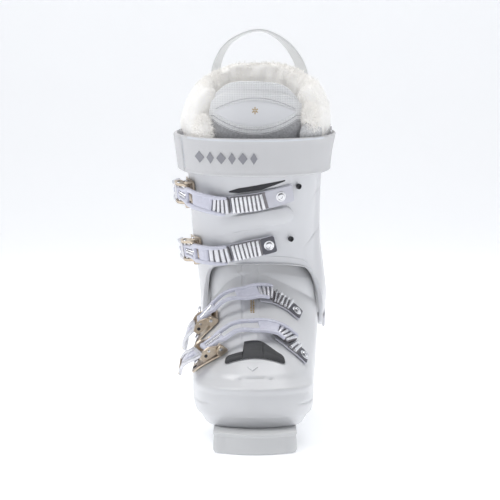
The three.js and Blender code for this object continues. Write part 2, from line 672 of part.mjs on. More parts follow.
function makeLadder(route, hookFrom, hookTo, teethEnd, plateEnd) {
  const level = (at, high) => ({ at, low: ladder.low, high, half: ladder.half });
  const stations = [level(hookFrom + 1, 2.3), level(hookTo + 0.7, 2.3)];
  for (let at = hookTo + 2; at + ladder.pitch <= teethEnd + 0.5; at += ladder.pitch) {
    stations.push(level(at, ladder.crest), level(at + ladder.pitch * 0.55, ladder.crest));
    stations.push(level(at + ladder.pitch * 0.65, ladder.valley), level(at + ladder.pitch * 0.95, ladder.valley));
  }
  stations.push(level(teethEnd + 1, 2.6), level(plateEnd, 2.6));
  return strip(route, stations);
}

// One buckle. The x values are places across the boot; leverLength runs back from the hinge.
function addBuckle({ name, surface, placeScale, stops, x, leverLength }) {
  const route = makeRoute(surface, stops, x.hinge, placeScale);
  const frame = route.frameAt(0);
  const stiffRoute = straightened(route);
  const [hookFrom, hookTo, teethEnd, plateEnd] = [x.hookFrom, x.hookTo, x.teethEnd, x.plateEnd].map(route.distanceAtX);
  const rootLength = Math.min(34, leverLength - 10);
  addPiece(`${name}_base`, makeBase(route, frame, rootLength), 'champagne');
  addPiece(`${name}_base_rivet`, disc(route.frameAt(-rootLength + 9), 0, 3.6, base.high + 0.5, base.high + 2), 'chrome');
  addPiece(`${name}_hinge_pin`, crossSlab(frame, circle(0, hinge.up, hinge.radius), -12.8, 12.8), 'chrome');
  addPiece(`${name}_lever`, makeLever(stiffRoute, frame, leverLength), 'chrome');
  const bailPinOutline = circle(bailPivot.along, bailPivot.up, bailPivot.radius);
  addPiece(`${name}_bail_pin`, crossSlab(frame, bailPinOutline, -9.9, 9.9), 'chrome');
  addPiece(`${name}_bail`, makeBail(stiffRoute, frame, hookFrom), 'bailWhite');
  addPiece(`${name}_hook`, makeHook(stiffRoute, hookFrom, hookTo), 'chrome');
  addPiece(`${name}_ladder`, makeLadder(route, hookFrom, hookTo, teethEnd, plateEnd), 'chrome');
  const screwFrame = route.frameAt((teethEnd + plateEnd) / 2 + 0.5);
  addPiece(`${name}_ladder_screw`, disc(screwFrame, 0, 3.3, 3, 4.8), 'chrome');
}

addBuckle({
  name: 'buckle_toe',
  surface: shellPoint,
  placeScale: 1,
  stops: [[-0.26, 46], [-0.21, 53], [-0.163, 64], [-0.113, 75], [-0.075, 84], [-0.038, 89.5], [0.02, 92.3], [0.063, 90],
    [0.088, 85], [0.112, 77], [0.135, 68], [0.16, 58]],
  x: { hinge: -31, hookFrom: 18, hookTo: 31, teethEnd: 36.5, plateEnd: 44.5 },
  leverLength: 50,
});
addBuckle({
  name: 'buckle_instep',
  surface: shellPoint,
  placeScale: 1,
  stops: [[-0.3, 62], [-0.245, 70], [-0.2, 82], [-0.16, 94], [-0.13, 103], [-0.1, 108.5], [-0.048, 115.5],
    [0.013, 120], [0.05, 119.5], [0.087, 116.5], [0.115, 111.5], [0.135, 105.5], [0.16, 97], [0.19, 87]],
  x: { hinge: -35, hookFrom: 2.5, hookTo: 15.5, teethEnd: 31, plateEnd: 41 },
  leverLength: 46,
});
addBuckle({
  name: 'buckle_ankle',
  surface: cuffPoint,
  placeScale: 360,
  stops: [[130, 164], [165, 163], [200, 161], [227, 158.5], [243, 157.5], [258, 160], [274, 164.5], [292, 170],
    [315, 176]],
  x: { hinge: -49, hookFrom: -34, hookTo: -20, teethEnd: 6, plateEnd: 18.5 },
  leverLength: 48,
});
addBuckle({
  name: 'buckle_shin',
  surface: cuffPoint,
  placeScale: 360,
  stops: [[130, 221], [165, 218], [200, 213], [228, 206.5], [247, 202.5], [266, 204], [282, 208.5], [298, 213],
    [320, 220]],
  x: { hinge: -55, hookFrom: -35, hookTo: -20.5, teethEnd: 10, plateEnd: 33.5 },
  leverLength: 52,
});

export default boot;
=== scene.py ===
import json
import math

import bmesh
import bpy
import numpy as np
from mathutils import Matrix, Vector

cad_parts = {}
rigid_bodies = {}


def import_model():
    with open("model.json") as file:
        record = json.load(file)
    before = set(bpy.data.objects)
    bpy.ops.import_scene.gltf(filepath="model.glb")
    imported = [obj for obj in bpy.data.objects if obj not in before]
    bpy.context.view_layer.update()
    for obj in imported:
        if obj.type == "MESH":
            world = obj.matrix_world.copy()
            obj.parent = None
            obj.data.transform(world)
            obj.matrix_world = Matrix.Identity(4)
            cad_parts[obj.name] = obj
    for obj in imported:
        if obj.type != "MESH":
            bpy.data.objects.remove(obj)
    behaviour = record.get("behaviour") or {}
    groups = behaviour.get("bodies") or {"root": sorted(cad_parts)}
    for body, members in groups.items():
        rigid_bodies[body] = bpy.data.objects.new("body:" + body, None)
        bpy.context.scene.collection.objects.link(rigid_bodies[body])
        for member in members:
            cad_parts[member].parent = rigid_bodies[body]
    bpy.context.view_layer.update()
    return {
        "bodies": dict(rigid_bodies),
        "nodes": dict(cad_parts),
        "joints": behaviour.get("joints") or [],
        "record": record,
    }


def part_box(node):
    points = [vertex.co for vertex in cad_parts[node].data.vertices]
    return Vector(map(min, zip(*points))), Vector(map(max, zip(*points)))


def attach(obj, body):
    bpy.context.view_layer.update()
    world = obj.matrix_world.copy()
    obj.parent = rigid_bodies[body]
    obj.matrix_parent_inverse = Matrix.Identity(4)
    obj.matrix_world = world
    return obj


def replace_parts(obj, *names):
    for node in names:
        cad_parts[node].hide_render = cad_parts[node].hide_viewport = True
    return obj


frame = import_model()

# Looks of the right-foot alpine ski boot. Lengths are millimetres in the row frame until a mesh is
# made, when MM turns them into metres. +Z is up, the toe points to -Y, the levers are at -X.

MM = 0.001
joints = {joint["name"]: joint for joint in frame["joints"]}
rng = np.random.default_rng(7)

# ---- driving sizes

SHELL_WALL = 5.0
CUFF_WALL = 4.5
SOLE_WIDTH = 70.0
PIVOT = Vector(joints["cuff_flex"]["pos_m"]) / MM

# z, front, rear, then half widths: toe, ball outer and inner, ankle outer and inner, heel.
SHELL_LEVELS = np.array([
    (18, -122, 130, 36, 46, 43, 33, 33, 28),
    (30, -129, 136, 41, 53, 50, 38, 38, 32),
    (44, -131, 139, 41, 55, 52, 41, 42, 34),
    (54, -127, 139, 38, 55, 53, 43, 46, 35),
    (66, -111, 137, 35, 54, 54, 44, 50, 35),
    (80, -90, 132, 31, 50, 54, 43, 55, 34),
    (95, -66, 124, 27, 44, 53, 41, 57, 31),
    (110, -43, 112, 24, 38, 50, 39, 56, 26),
    (122, -28, 103, 21, 34, 45, 38, 51, 22),
    (136, -15, 98, 18, 32, 40, 37, 46, 20),
    (152, -7, 94, 17, 30, 36, 35, 42, 20),
], float)

# z, front, rear, half width outer and inner, y of the widest place.
CUFF_LEVELS = np.array([
    (82, -14, 129, 51, 64.5, 60),
    (100, -14, 124, 51.5, 66.7, 58),
    (118, -16, 119, 52, 67.5, 54),
    (140, -19, 113, 54, 65, 49),
    (172, -26, 105, 58, 61, 41),
    (215, -37, 95, 61, 61, 31),
    (245, -45, 89, 63, 63, 23),
    (275, -53, 84, 66, 67, 15),
    (305, -59, 77, 57, 62, 8),
    (336, -64, 70, 48, 57, 2),
], float)
OVAL_POWER = 2.3

# Edges seen from the side as (y, z).
CUFF_LOWER_EDGE = [(-60, 146), (-12, 146), (2, 141), (18, 122), (32, 100), (46, 88), (62, 84), (78, 88),
                   (92, 99), (108, 108), (160, 110)]
SHELL_UPPER_EDGE = [(-60, 150), (-2, 150), (22, 142), (42, 126), (62, 119), (90, 116), (160, 116)]
CUFF_UPPER_EDGE = [(-90, 252), (-45, 256), (20, 269), (110, 284)]
STRAP_LOWER_EDGE = [(-90, 221), (110, 244)]
STRAP_UPPER_EDGE = [(-90, 256), (110, 279)]


# ---- the two guiding surfaces

def hermite(t, start, end, leave, arrive):
    """Cubic from start to end whose slopes over the whole step are leave and arrive."""
    return ((2 * t**3 - 3 * t**2 + 1) * start + (t**3 - 2 * t**2 + t) * leave
            + (3 * t**2 - 2 * t**3) * end + (t**3 - t**2) * arrive)


def centripetal(t, corners, knots):
    """Point of a spline between the middle two of four corners; knots are the spacings of the four."""
    p0, p1, p2, p3 = corners
    k0, k1, k2 = knots
    leave = ((p1 - p0) / k0 - (p2 - p0) / (k0 + k1) + (p2 - p1) / k1) * k1
    arrive = ((p2 - p1) / k1 - (p3 - p1) / (k1 + k2) + (p3 - p2) / k2) * k1
    return hermite(t, p1, p2, leave, arrive)


def level_at(levels, z):
    """Every number of a level, smoothly between the tabulated heights."""
    z = np.asarray(z, float)
    i = np.clip(np.searchsorted(levels[:, 0], z) - 1, 0, len(levels) - 2)
    before, low = levels[np.maximum(i - 1, 0)], levels[i]
    high, after = levels[i + 1], levels[np.minimum(i + 2, len(levels) - 1)]
    span = (high - low)[..., :1]
    t = (z[..., None] - low[..., :1]) / span
    start_slope = (high - before) / (high - before)[..., :1] * span
    end_slope = (after - low) / (after - low)[..., :1] * span
    return hermite(t, low, high, start_slope, end_slope)


def cuff_surface(place, z, inset=0.0):
    """place is an angle in degrees: 0 inner side, 90 rear, 180 outer side, 270 front."""
    place, z, inset = np.broadcast_arrays(*(np.asarray(v, float) for v in (place, z, inset)))
    _, front, rear, outer, inner, widest = np.moveaxis(level_at(CUFF_LEVELS, z), -1, 0)
    cosine, sine = np.cos(np.radians(place)), np.sin(np.radians(place))
    width = np.where(cosine > 0, inner, outer) - inset
    depth = np.where(sine > 0, rear - widest, widest - front) - inset
    power = 2 / OVAL_POWER
    x = width * np.sign(cosine) * np.abs(cosine)**power
    y = widest + depth * np.sign(sine) * np.abs(sine)**power
    return np.stack([x, y, z], -1)


def shell_surface(place, z, inset=0.0):
    """place: 0 toe tip, positive towards the inner side, 0.5 heel, negative on the outer side."""
    place, z, inset = np.broadcast_arrays(*(np.asarray(v, float) for v in (place, z, inset)))
    level = np.moveaxis(level_at(SHELL_LEVELS, z), -1, 0)
    _, front, rear, toe, ball_out, ball_in, ankle_out, ankle_in, heel = level
    front = front + inset * np.where(z > 50, 1.7, 1.2)
    rear = rear - inset
    length = rear - front
    toe, heel = toe - 0.8 * inset, heel - 0.8 * inset
    toe_y, ball_y = front + 0.42 * toe, front + 0.31 * length
    ankle_y, heel_y = front + 0.62 * length, rear - 0.42 * heel
    middle = np.zeros_like(front)
    outline = [(middle, front), (toe, toe_y), (ball_in - inset, ball_y), (ankle_in - inset, ankle_y),
               (heel, heel_y), (middle, rear), (-heel, heel_y), (inset - ankle_out, ankle_y),
               (inset - ball_out, ball_y), (-toe, toe_y)]
    points = np.stack([np.stack(pair, -1) for pair in outline], -2)
    along = (place % 1.0) * len(outline)
    first = np.floor(along).astype(int) % len(outline)
    t = (along - np.floor(along))[..., None]

    def corner(step):
        index = ((first + step) % len(outline))[..., None, None].repeat(2, -1)
        return np.take_along_axis(points, index, -2)[..., 0, :]

    def knot(a, b):
        return np.maximum(np.sum((a - b)**2, -1), 1e-12)[..., None]**0.25

    corners = [corner(step) for step in (-1, 0, 1, 2)]
    flat = centripetal(t, corners, [knot(a, b) for a, b in zip(corners, corners[1:])])
    return np.concatenate([flat, z[..., None]], -1)


def place_step(surface):
    """A small step round a surface, in the units of its places."""
    return 1e-3 if surface is shell_surface else 0.4


def surface_normals(surface, place, z, inset=0.0):
    step = place_step(surface)
    place, z = np.asarray(place, float), np.asarray(z, float)
    around = surface(place + step, z, inset) - surface(place - step, z, inset)
    upwards = surface(place, z + 0.5, inset) - surface(place, z - 0.5, inset)
    normal = np.cross(around, upwards)
    return normal / np.linalg.norm(normal, axis=-1, keepdims=True)


def edge_height(edge, y):
    """Height of a side-view edge at y, smooth through its points."""
    ys, zs = np.array(edge, float).T
    slopes = np.gradient(zs, ys)
    i = np.clip(np.searchsorted(ys, y) - 1, 0, len(ys) - 2)
    span = ys[i + 1] - ys[i]
    t = np.clip((y - ys[i]) / span, 0, 1)
    return hermite(t, zs[i], zs[i + 1], slopes[i] * span, slopes[i + 1] * span)


def edge_on_surface(surface, places, edge, start):
    """For each place, the height where the surface meets a side-view edge."""
    z = np.full(len(places), float(start))
    for _ in range(60):
        z = 0.5 * z + 0.5 * edge_height(edge, surface(places, z)[:, 1])
    return z


def quarter_round(near):
    """How far a rounded edge falls back: 1 at the very edge, 0 from where near reaches 1."""
    return 1 - np.sqrt(np.clip(1 - np.clip(1 - near, 0, 1)**2, 0, 1))


def smooth_step(low, high, value):
    """0 below low, 1 above high, easing in between."""
    t = np.clip((value - low) / (high - low), 0, 1)
    return t * t * (3 - 2 * t)


# ---- meshes

def make_mesh(name, points, faces, look, body, smooth_angle=35):
    """A piece that rides on a body; look is its material and its slot, and the slot is not used."""
    material, slot = look
    mesh = bpy.data.meshes.new(name)
    mesh.from_pydata((np.asarray(points, float) * MM).tolist(), [], faces)
    mesh.validate()
    piece = bpy.data.objects.new(name, mesh)
    bpy.context.scene.collection.objects.link(piece)
    mesh.materials.append(material)
    face_outwards(mesh)
    mesh.shade_smooth()
    if smooth_angle:
        mesh.set_sharp_from_angle(angle=math.radians(smooth_angle))
    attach(piece, body)
    return piece


def face_outwards(mesh):
    loose = bmesh.new()
    loose.from_mesh(mesh)
    bmesh.ops.recalc_face_normals(loose, faces=loose.faces)
    loose.to_mesh(mesh)
    loose.free()


def tube(rows, ring=False):
    """Points and faces through closed rows of points: capped at both ends, or closed into a ring."""
    rows = np.asarray(rows, float)
    count, columns = rows.shape[:2]
    faces = []
    for row in range(count if ring else count - 1):
        here = row * columns
        beyond = (row + 1) % count * columns
        for column in range(columns):
            after = (column + 1) % columns
            faces.append((here + column, here + after, beyond + after, beyond + column))
    if not ring:
        faces.append(tuple(range(columns))[::-1])
        faces.append(tuple(range((count - 1) * columns, count * columns)))
    return rows.reshape(-1, 3), faces


def joined_piece(name, parts, look, body, **options):
    """One mesh from several closed parts, each (points, faces)."""
    points, faces = [], []
    for part_points, part_faces in parts:
        offset = len(points)
        points.extend(np.asarray(part_points, float).reshape(-1, 3).tolist())
        faces.extend([tuple(index + offset for index in face) for face in part_faces])
    return make_mesh(name, points, faces, look, body, **options)


# ---- materials

class Graph:
    """A node tree being wired."""

    def __init__(self, tree):
        self.nodes, self.links = tree.nodes, tree.links

    def feed(self, socket, value):
        """Gives a socket its value, or links the output that feeds it."""
        if isinstance(value, bpy.types.NodeSocket):
            self.links.new(value, socket)
        else:
            socket.default_value = value

    def node(self, kind, **sockets):
        node = self.nodes.new(f"ShaderNode{kind}")
        for name, value in sockets.items():
            self.feed(node.inputs[name.replace("_", " ")], value)
        return node

    def ramp(self, factor, *stops):
        """A colour between stops (position, colour)."""
        ramp = self.node("ValToRGB", Fac=factor)
        for element, (position, color) in zip(ramp.color_ramp.elements, stops):
            element.position = position
            element.color = (*color, 1)
        return ramp.outputs["Color"]


class Shader(Graph):
    """A procedural material: every texture reads object coordinates in metres."""

    def __init__(self, name, color, roughness, **sockets):
        self.material = bpy.data.materials.new(name)
        self.material.use_nodes = True
        super().__init__(self.material.node_tree)
        self.surface = next(node for node in self.nodes if node.type == "BSDF_PRINCIPLED")
        self.set(Base_Color=(*color, 1), Roughness=roughness, **sockets)
        self.coordinates = self.node("TexCoord").outputs["Object"]
        self.relief = None

    def set(self, **sockets):
        for name, value in sockets.items():
            self.feed(self.surface.inputs[name.replace("_", " ")], value)

    def noise(self, size, detail=3.0, stretch=(1, 1, 1)):
        """Noise whose lumps are about size metres across."""
        scaling = self.node("VectorMath")
        scaling.operation = "MULTIPLY"
        self.feed(scaling.inputs[1], tuple(value / size for value in stretch))
        self.feed(scaling.inputs[0], self.coordinates)
        return self.node("TexNoise", Scale=1.0, Detail=detail, Vector=scaling.outputs[0]).outputs["Fac"]

    def weave(self, pitch, slanted=False):
        """Threads crossing along x and z, or along both diagonals."""
        split = self.node("SeparateXYZ", Vector=self.coordinates)
        across, up = split.outputs["X"], split.outputs["Z"]
        if slanted:
            across, up = self.math("ADD", across, up), self.math("SUBTRACT", across, up)
        waves = []
        for direction in (across, up):
            turn = self.math("MULTIPLY", direction, 2 * math.pi / pitch)
            waves.append(self.math("SINE", turn, 0.0))
        return self.math("MULTIPLY_ADD", *waves, 0.5)

    def math(self, operation, *values):
        node = self.node("Math")
        node.operation = operation
        for socket, value in zip(node.inputs, values):
            self.feed(socket, value)
        return node.outputs[0]

    def vary_color(self, factor, dark, light, low=0.3, high=0.7):
        self.set(Base_Color=self.ramp(factor, (low, dark), (high, light)))

    def vary_roughness(self, factor, low, high):
        self.set(Roughness=self.node("MapRange", To_Min=low, To_Max=high, Value=factor).outputs["Result"])

    def bump(self, height, depth, strength=1.0):
        """Adds relief of about depth metres over the relief so far."""
        node = self.node("Bump", Strength=strength, Distance=depth, Height=height)
        if self.relief is not None:
            self.feed(node.inputs["Normal"], self.relief)
        self.relief = node.outputs["Normal"]
        self.set(Normal=self.relief)


def dimmed(color, share):
    return tuple(value * share for value in color)


def molded_plastic(name, color, roughness, shift=0.03, coat=0.0, translucency=0.0):
    shader = Shader(name, color, roughness, Coat_Weight=coat, Coat_Roughness=0.12)
    if translucency:
        depths = (0.004, 0.0035, 0.003)
        shader.set(Subsurface_Weight=translucency, Subsurface_Radius=depths, Subsurface_Scale=1.0)
    shader.vary_color(shader.noise(0.03), dimmed(color, 1 - shift), color)
    shader.vary_roughness(shader.noise(0.008, 5), roughness - 0.05, roughness + 0.07)
    shader.bump(shader.noise(0.0011, 4), 0.00004, 0.35)
    return shader.material


def pearl(name, color):
    return molded_plastic(name, color, 0.30, coat=0.25, translucency=0.04)


def metal(name, color, roughness, brushed=(1, 1, 1)):
    shader = Shader(name, color, roughness, Metallic=1.0)
    shader.vary_color(shader.noise(0.004, 4), dimmed(color, 0.86), color)
    shader.vary_roughness(shader.noise(0.0006, 4, brushed), roughness * 0.7, roughness * 1.5)
    shader.bump(shader.noise(0.0005, 3, brushed), 0.00001, 0.3)
    return shader.material


def rubber(name, color):
    shader = Shader(name, color, 0.62)
    shader.vary_color(shader.noise(0.006, 4), dimmed(color, 0.8), color)
    shader.bump(shader.noise(0.0008, 5), 0.00008, 0.5)
    return shader.material


def woven(name, color, pitch, depth, sheen=0.0):
    shader = Shader(name, color, 0.8, Sheen_Weight=sheen)
    threads = shader.weave(pitch)
    # The low places of the weave are coloured darker: painted shade in its hollows over the pattern of the
    # threads.
    shader.vary_color(threads, dimmed(color, 0.78), color, 0.1, 0.8)
    shader.bump(threads, depth, 0.6)
    shader.bump(shader.noise(0.0005, 3), depth * 0.4, 0.4)
    return shader.material


def felt(name, color, depth=0.0003, sheen=0.3, mottle=0.28, painted_glow=0.0):
    """The last setting makes the cloth glow faintly in its own colour: a painted glow standing in for the
    light that pale hairs pass on to each other.
    """
    shader = Shader(name, color, 0.92, Sheen_Weight=sheen)
    # Emission in the cloth's own colour: a painted glow, used on the fur.
    shader.set(Emission_Color=(*color, 1), Emission_Strength=painted_glow)
    shader.vary_color(shader.noise(0.0016, 5), dimmed(color, 1 - mottle), color, 0.35, 0.62)
    shader.bump(shader.noise(0.0012, 5), depth, 0.6)
    shader.bump(shader.noise(0.0004, 2), depth * 0.4, 0.4)
    return shader.material


def mesh_fabric(name, color, pitch):
    """Spacer fabric with a slanted net of threads."""
    shader = Shader(name, color, 0.85, Sheen_Weight=0.15)
    net = shader.weave(pitch, slanted=True)
    # The low places of the net are coloured darker: painted shade in its openings over the pattern of the
    # threads.
    shader.vary_color(net, dimmed(color, 0.84), color, 0.15, 0.6)
    shader.bump(net, 0.0004, 0.7)
    return shader.material


# Each look is a material and the slot it stands in.
SHELL_WHITE = pearl("pearl_shell", (0.73, 0.735, 0.75)), "shell_white"
CUFF_WHITE = pearl("pearl_cuff", (0.735, 0.74, 0.76)), "shell_white"
SOLE_WHITE = molded_plastic("sole_plastic", (0.67, 0.675, 0.68), 0.45), "sole_white"
BAIL_WHITE = molded_plastic("bail_plastic", (0.66, 0.665, 0.765), 0.26, coat=0.3), "bail_white"
STRAP_GREY = woven("strap_band", (0.74, 0.74, 0.75), 0.0011, 0.00006), "strap_grey"
STRAP_EDGE = molded_plastic("strap_edge", (0.72, 0.74, 0.78), 0.42), "strap_grey"
PRINT_GREY = molded_plastic("soft_print", (0.30, 0.30, 0.33), 0.5), "strap_grey"
GOLD_PRINT = molded_plastic("gold_print", (0.50, 0.36, 0.18), 0.4), "champagne_metal"
SMOKE_GREY = rubber("gaiter_rubber", (0.055, 0.056, 0.06)), "rubber_grey"
SOLE_RUBBER = rubber("sole_rubber", (0.16, 0.16, 0.17)), "rubber_grey"
BOARD_GREY = molded_plastic("board_plastic", (0.05, 0.05, 0.055), 0.6), "board_dark"
LADDER_DARK = molded_plastic("ladder_plate", (0.10, 0.10, 0.12), 0.38), "board_dark"
LADDER_WHITE = molded_plastic("ladder_bed", (0.62, 0.62, 0.68), 0.34), "bail_white"
CHROME = metal("chrome", (0.80, 0.80, 0.82), 0.14), "chrome"
SATIN = metal("satin_silver", (0.72, 0.72, 0.75), 0.27, (1, 1, 9)), "chrome"
CHAMPAGNE = metal("champagne", (0.68, 0.58, 0.46), 0.28, (1, 1, 8)), "champagne_metal"
DARK_METAL = metal("dark_metal", (0.22, 0.21, 0.22), 0.35), "chrome"
LINER_LIGHT = felt("tongue_cloth", (0.82, 0.82, 0.825)), "liner_grey"
LINER_MESH = mesh_fabric("tongue_mesh", (0.92, 0.925, 0.93), 0.0030), "liner_grey"
LINER_GREY = felt("liner_cloth", (0.25, 0.255, 0.27)), "liner_grey"
LINER_DARK = felt("liner_dark", (0.50, 0.50, 0.515)), "liner_grey"
BADGE_LIGHT = molded_plastic("badge_skin", (0.76, 0.765, 0.785), 0.36), "liner_grey"
FOOTBED = felt("footbed_felt", (0.11, 0.11, 0.12)), "footbed_felt"
THREAD = woven("thread", (0.62, 0.62, 0.64), 0.0004, 0.00003), "liner_grey"
WEBBING = woven("loop_webbing", (0.90, 0.91, 0.91), 0.0015, 0.00014, 0.2), "loop_webbing"
# The fur skin and the fur strands below are given a faint painted glow.
FUR_SKIN = felt("fur_skin", (0.94, 0.925, 0.90), 0.0006, 0.6, 0.05, painted_glow=0.12), "fur_cream"
LEVER_SATIN = SATIN[0], "lever_chrome"
LADDER_END_WHITE = LADDER_WHITE[0], "board_dark"
LOOP_THREAD = THREAD[0], "loop_webbing"
FUR_STRAND = felt("fur_strand", (0.95, 0.935, 0.91), 0.0002, 0.7, 0.04, painted_glow=0.12)
# Near-black filler set into holes, eyes and slots: painted shade where their insides lie in shadow.
PAINTED_HOLE_SHADE = molded_plastic("hole_shadow", (0.035, 0.035, 0.04), 0.7), "board_dark"


# ---- lower shell

SHELL_COLUMNS = 560
CUFF_COLUMNS = 480
SHELL_FOOT = 18.0
SHELL_RIM, CUFF_RIM, CUFF_HEM = 2.5, 2.2, 1.2


def bell(value, middle, width):
    """1 at the middle, falling smoothly to 0 at width away on both sides."""
    return 1 - smooth_step(0, width, np.abs(value - middle))


def polyline_distance(x, y, line):
    """Distance of each (x, y) from an open line of points."""
    line = np.asarray(line, float)
    best = np.full(np.shape(x), 1e9)
    for a, b in zip(line[:-1], line[1:]):
        edge = b - a
        t = np.clip(((x - a[0]) * edge[0] + (y - a[1]) * edge[1]) / (edge @ edge), 0, 1)
        best = np.minimum(best, np.hypot(x - a[0] - t * edge[0], y - a[1] - t * edge[1]))
    return best


def rim_rows(surface, places, edge_z, wall, radius):
    """Rows of a rounded rim, from the outer skin over the top to the inner skin."""
    rows = []
    for angle in np.linspace(0, math.pi, 9)[1:-1]:
        drop = radius * (1 - math.sin(angle))
        inset = wall / 2 - (wall / 2) * math.cos(angle)
        rows.append(surface(places, edge_z - drop, inset))
    return rows


def shell_relief(places, z, points):
    """Height of the moulded details of the lower shell over its plain skin."""
    x, y = points[..., 0], points[..., 1]
    side = np.abs(((places + 0.5) % 1.0) - 0.5)
    front = y < 45
    relief = np.zeros_like(x)

    # Outer flap laid over the inner one along the instep: a step at the seam, and a raised middle band.
    instep = front * smooth_step(80, 92, z)
    relief -= 0.75 * instep * smooth_step(-12.6, -11.6, x) * (1 - smooth_step(2, 30, x))
    relief += 0.5 * instep * smooth_step(-10.5, -9.5, x) * (1 - smooth_step(2.0, 3.0, x))

    # Toe cap: a crease where the upright front turns into the roof, and a shallow arc line above it.
    toe = y < -70
    near_tip = 1 - smooth_step(0.10, 0.17, side)
    relief += 1.9 * near_tip * bell(z, 50.5, 5.5) ** 1.6 - 0.8 * near_tip * bell(z, 58.5, 4.5)
    relief -= 0.75 * toe * bell(z, 60.5 - 0.006 * x**2, 0.9) * (1 - smooth_step(15.5, 18, np.abs(x)))

    # A ledge all round over the sole block, and the long character groove low on both sides.
    relief -= 1.3 * (1 - smooth_step(26.2, 27.2, z))
    groove = 38 + 10 * smooth_step(-60, 40, y) - 6 * smooth_step(60, 120, y)
    behind_toe = smooth_step(0.075, 0.11, side) * (1 - smooth_step(0.42, 0.46, side))
    relief -= 0.9 * bell(z, groove, 1.6) * behind_toe

    # Panel line round the heel.
    heel_line = 74 + 0.25 * (y - 60)
    relief -= 0.6 * bell(z, heel_line, 1.2) * smooth_step(70, 78, y)
    return relief


def fill_flank(points):
    """Widens the throat of the shell until it nearly meets the inside of the cuff lobes."""
    x, y, z = points[:, 0], points[:, 1], points[:, 2]
    _, front, rear, outer, inner, widest = np.moveaxis(level_at(CUFF_LEVELS, np.maximum(z, 82)), -1, 0)
    inset = CUFF_WALL + 2.6
    width = np.where(x > 0, inner, outer) - inset
    depth = np.where(y > widest, rear - widest, widest - front) - inset
    share = np.clip(np.abs(y - widest) / depth, 0, 0.999)
    reach = width * (1 - share**OVAL_POWER)**(1 / OVAL_POWER)
    gap = np.clip(reach - np.abs(x), 0, 12)
    wanted = smooth_step(0.2, 0.98, np.abs(x) / np.maximum(reach, 1)) * smooth_step(84, 126, z)
    wanted *= 1 - smooth_step(20, 50, y)
    points = points.copy()
    points[:, 0] += np.sign(x) * gap * wanted
    return points


def lower_shell():
    """The overlap shell: sole edge, relief on its walls, a rounded rim and an inner skin."""
    places = np.arange(SHELL_COLUMNS) / SHELL_COLUMNS
    top = np.maximum(edge_on_surface(shell_surface, places, SHELL_UPPER_EDGE, 120), 60)
    rows = []
    for share in np.linspace(0, 1, 150)**1.05:
        z = SHELL_FOOT + (top - SHELL_RIM - SHELL_FOOT) * share
        points = shell_surface(places, z)
        lift = shell_relief(places, z, points)
        rows.append(fill_flank(points + surface_normals(shell_surface, places, z) * lift[:, None]))
    under = [shell_surface(places, 17.6, 4.2), shell_surface(places, 17.6, 1.9)]
    rim = [fill_flank(row) for row in rim_rows(shell_surface, places, top, SHELL_WALL, SHELL_RIM)]
    inner = [shell_surface(places, top - SHELL_RIM - (top - SHELL_RIM - 24.0) * share, SHELL_WALL)
             for share in np.linspace(0, 1, 46)]
    piece = make_mesh("lower_shell_skin", *tube(under + rows + rim + inner), SHELL_WHITE, "shell")
    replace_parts(piece, "lower_shell")


# ---- cuff

FINGER_LINE = [(-60, 178), (-32, 182), (0, 187.5), (27.5, 192.5)]
UPPER_FINGER_LINE = [(-60, 214), (-20, 220), (27, 226)]


def cuff_relief(z, points, low):
    """Height of the moulded details of the cuff over its plain skin."""
    x, y = points[..., 0], points[..., 1]
    front = (y < 30) * 1.0
    relief = np.zeros_like(x)

    # The outer flap ends at the seam in front; two rounded fingers of it reach over the inner flap.
    sunk = 3.4 * front * smooth_step(-22, -9, x) * (1 - smooth_step(52, 62, x) * smooth_step(10, 25, y))
    finger = polyline_distance(x, z, FINGER_LINE)
    upper_finger = polyline_distance(x, z, UPPER_FINGER_LINE)
    reach = np.minimum(finger / 7.8, upper_finger / 8.0)
    covered = (1 - smooth_step(0.9, 1.0, reach)) * front
    relief -= sunk * (1 - covered)
    swell = 1 - np.minimum(finger / 7.8, 1.0)**2
    relief += 2.0 * swell * front * smooth_step(-45, -15, x)

    # The inner lobe narrows below the pivot.
    relief -= 1.9 * smooth_step(30, 45, x) * (1 - smooth_step(84, 108, z)) * smooth_step(10, 30, y)

    # A soft line set back from the lower edge, and a raised spine panel down the back.
    rear = (y > 20) * 1.0
    inner_side = smooth_step(0, 20, x)
    relief -= 0.7 * bell(z - low, 7.5, 1.1) * np.maximum(inner_side, rear * smooth_step(60, 75, y))
    spine = 1 - smooth_step(16.5, 18.5, np.abs(x) + 0.03 * (z - 130))
    relief += 2.2 * rear * spine * smooth_step(100, 104, z) * (1 - smooth_step(226, 232, z))
    relief -= 1.0 * rear * bell(np.abs(x), 0, 1.0) * smooth_step(168, 172, z) * (1 - smooth_step(214, 218, z))

    # Side panels of the inner side: a slanting facet line, and a shallow pocket under the strap.
    facet = 150 + 0.55 * (y + 30)
    relief -= 0.8 * inner_side * bell(z, facet, 1.3) * smooth_step(-10, 5, y) * (1 - smooth_step(70, 84, y))
    facet = 196 + 0.4 * (y + 30)
    relief -= 0.6 * inner_side * bell(z, facet, 1.2) * smooth_step(-10, 5, y) * (1 - smooth_step(62, 76, y))
    return relief


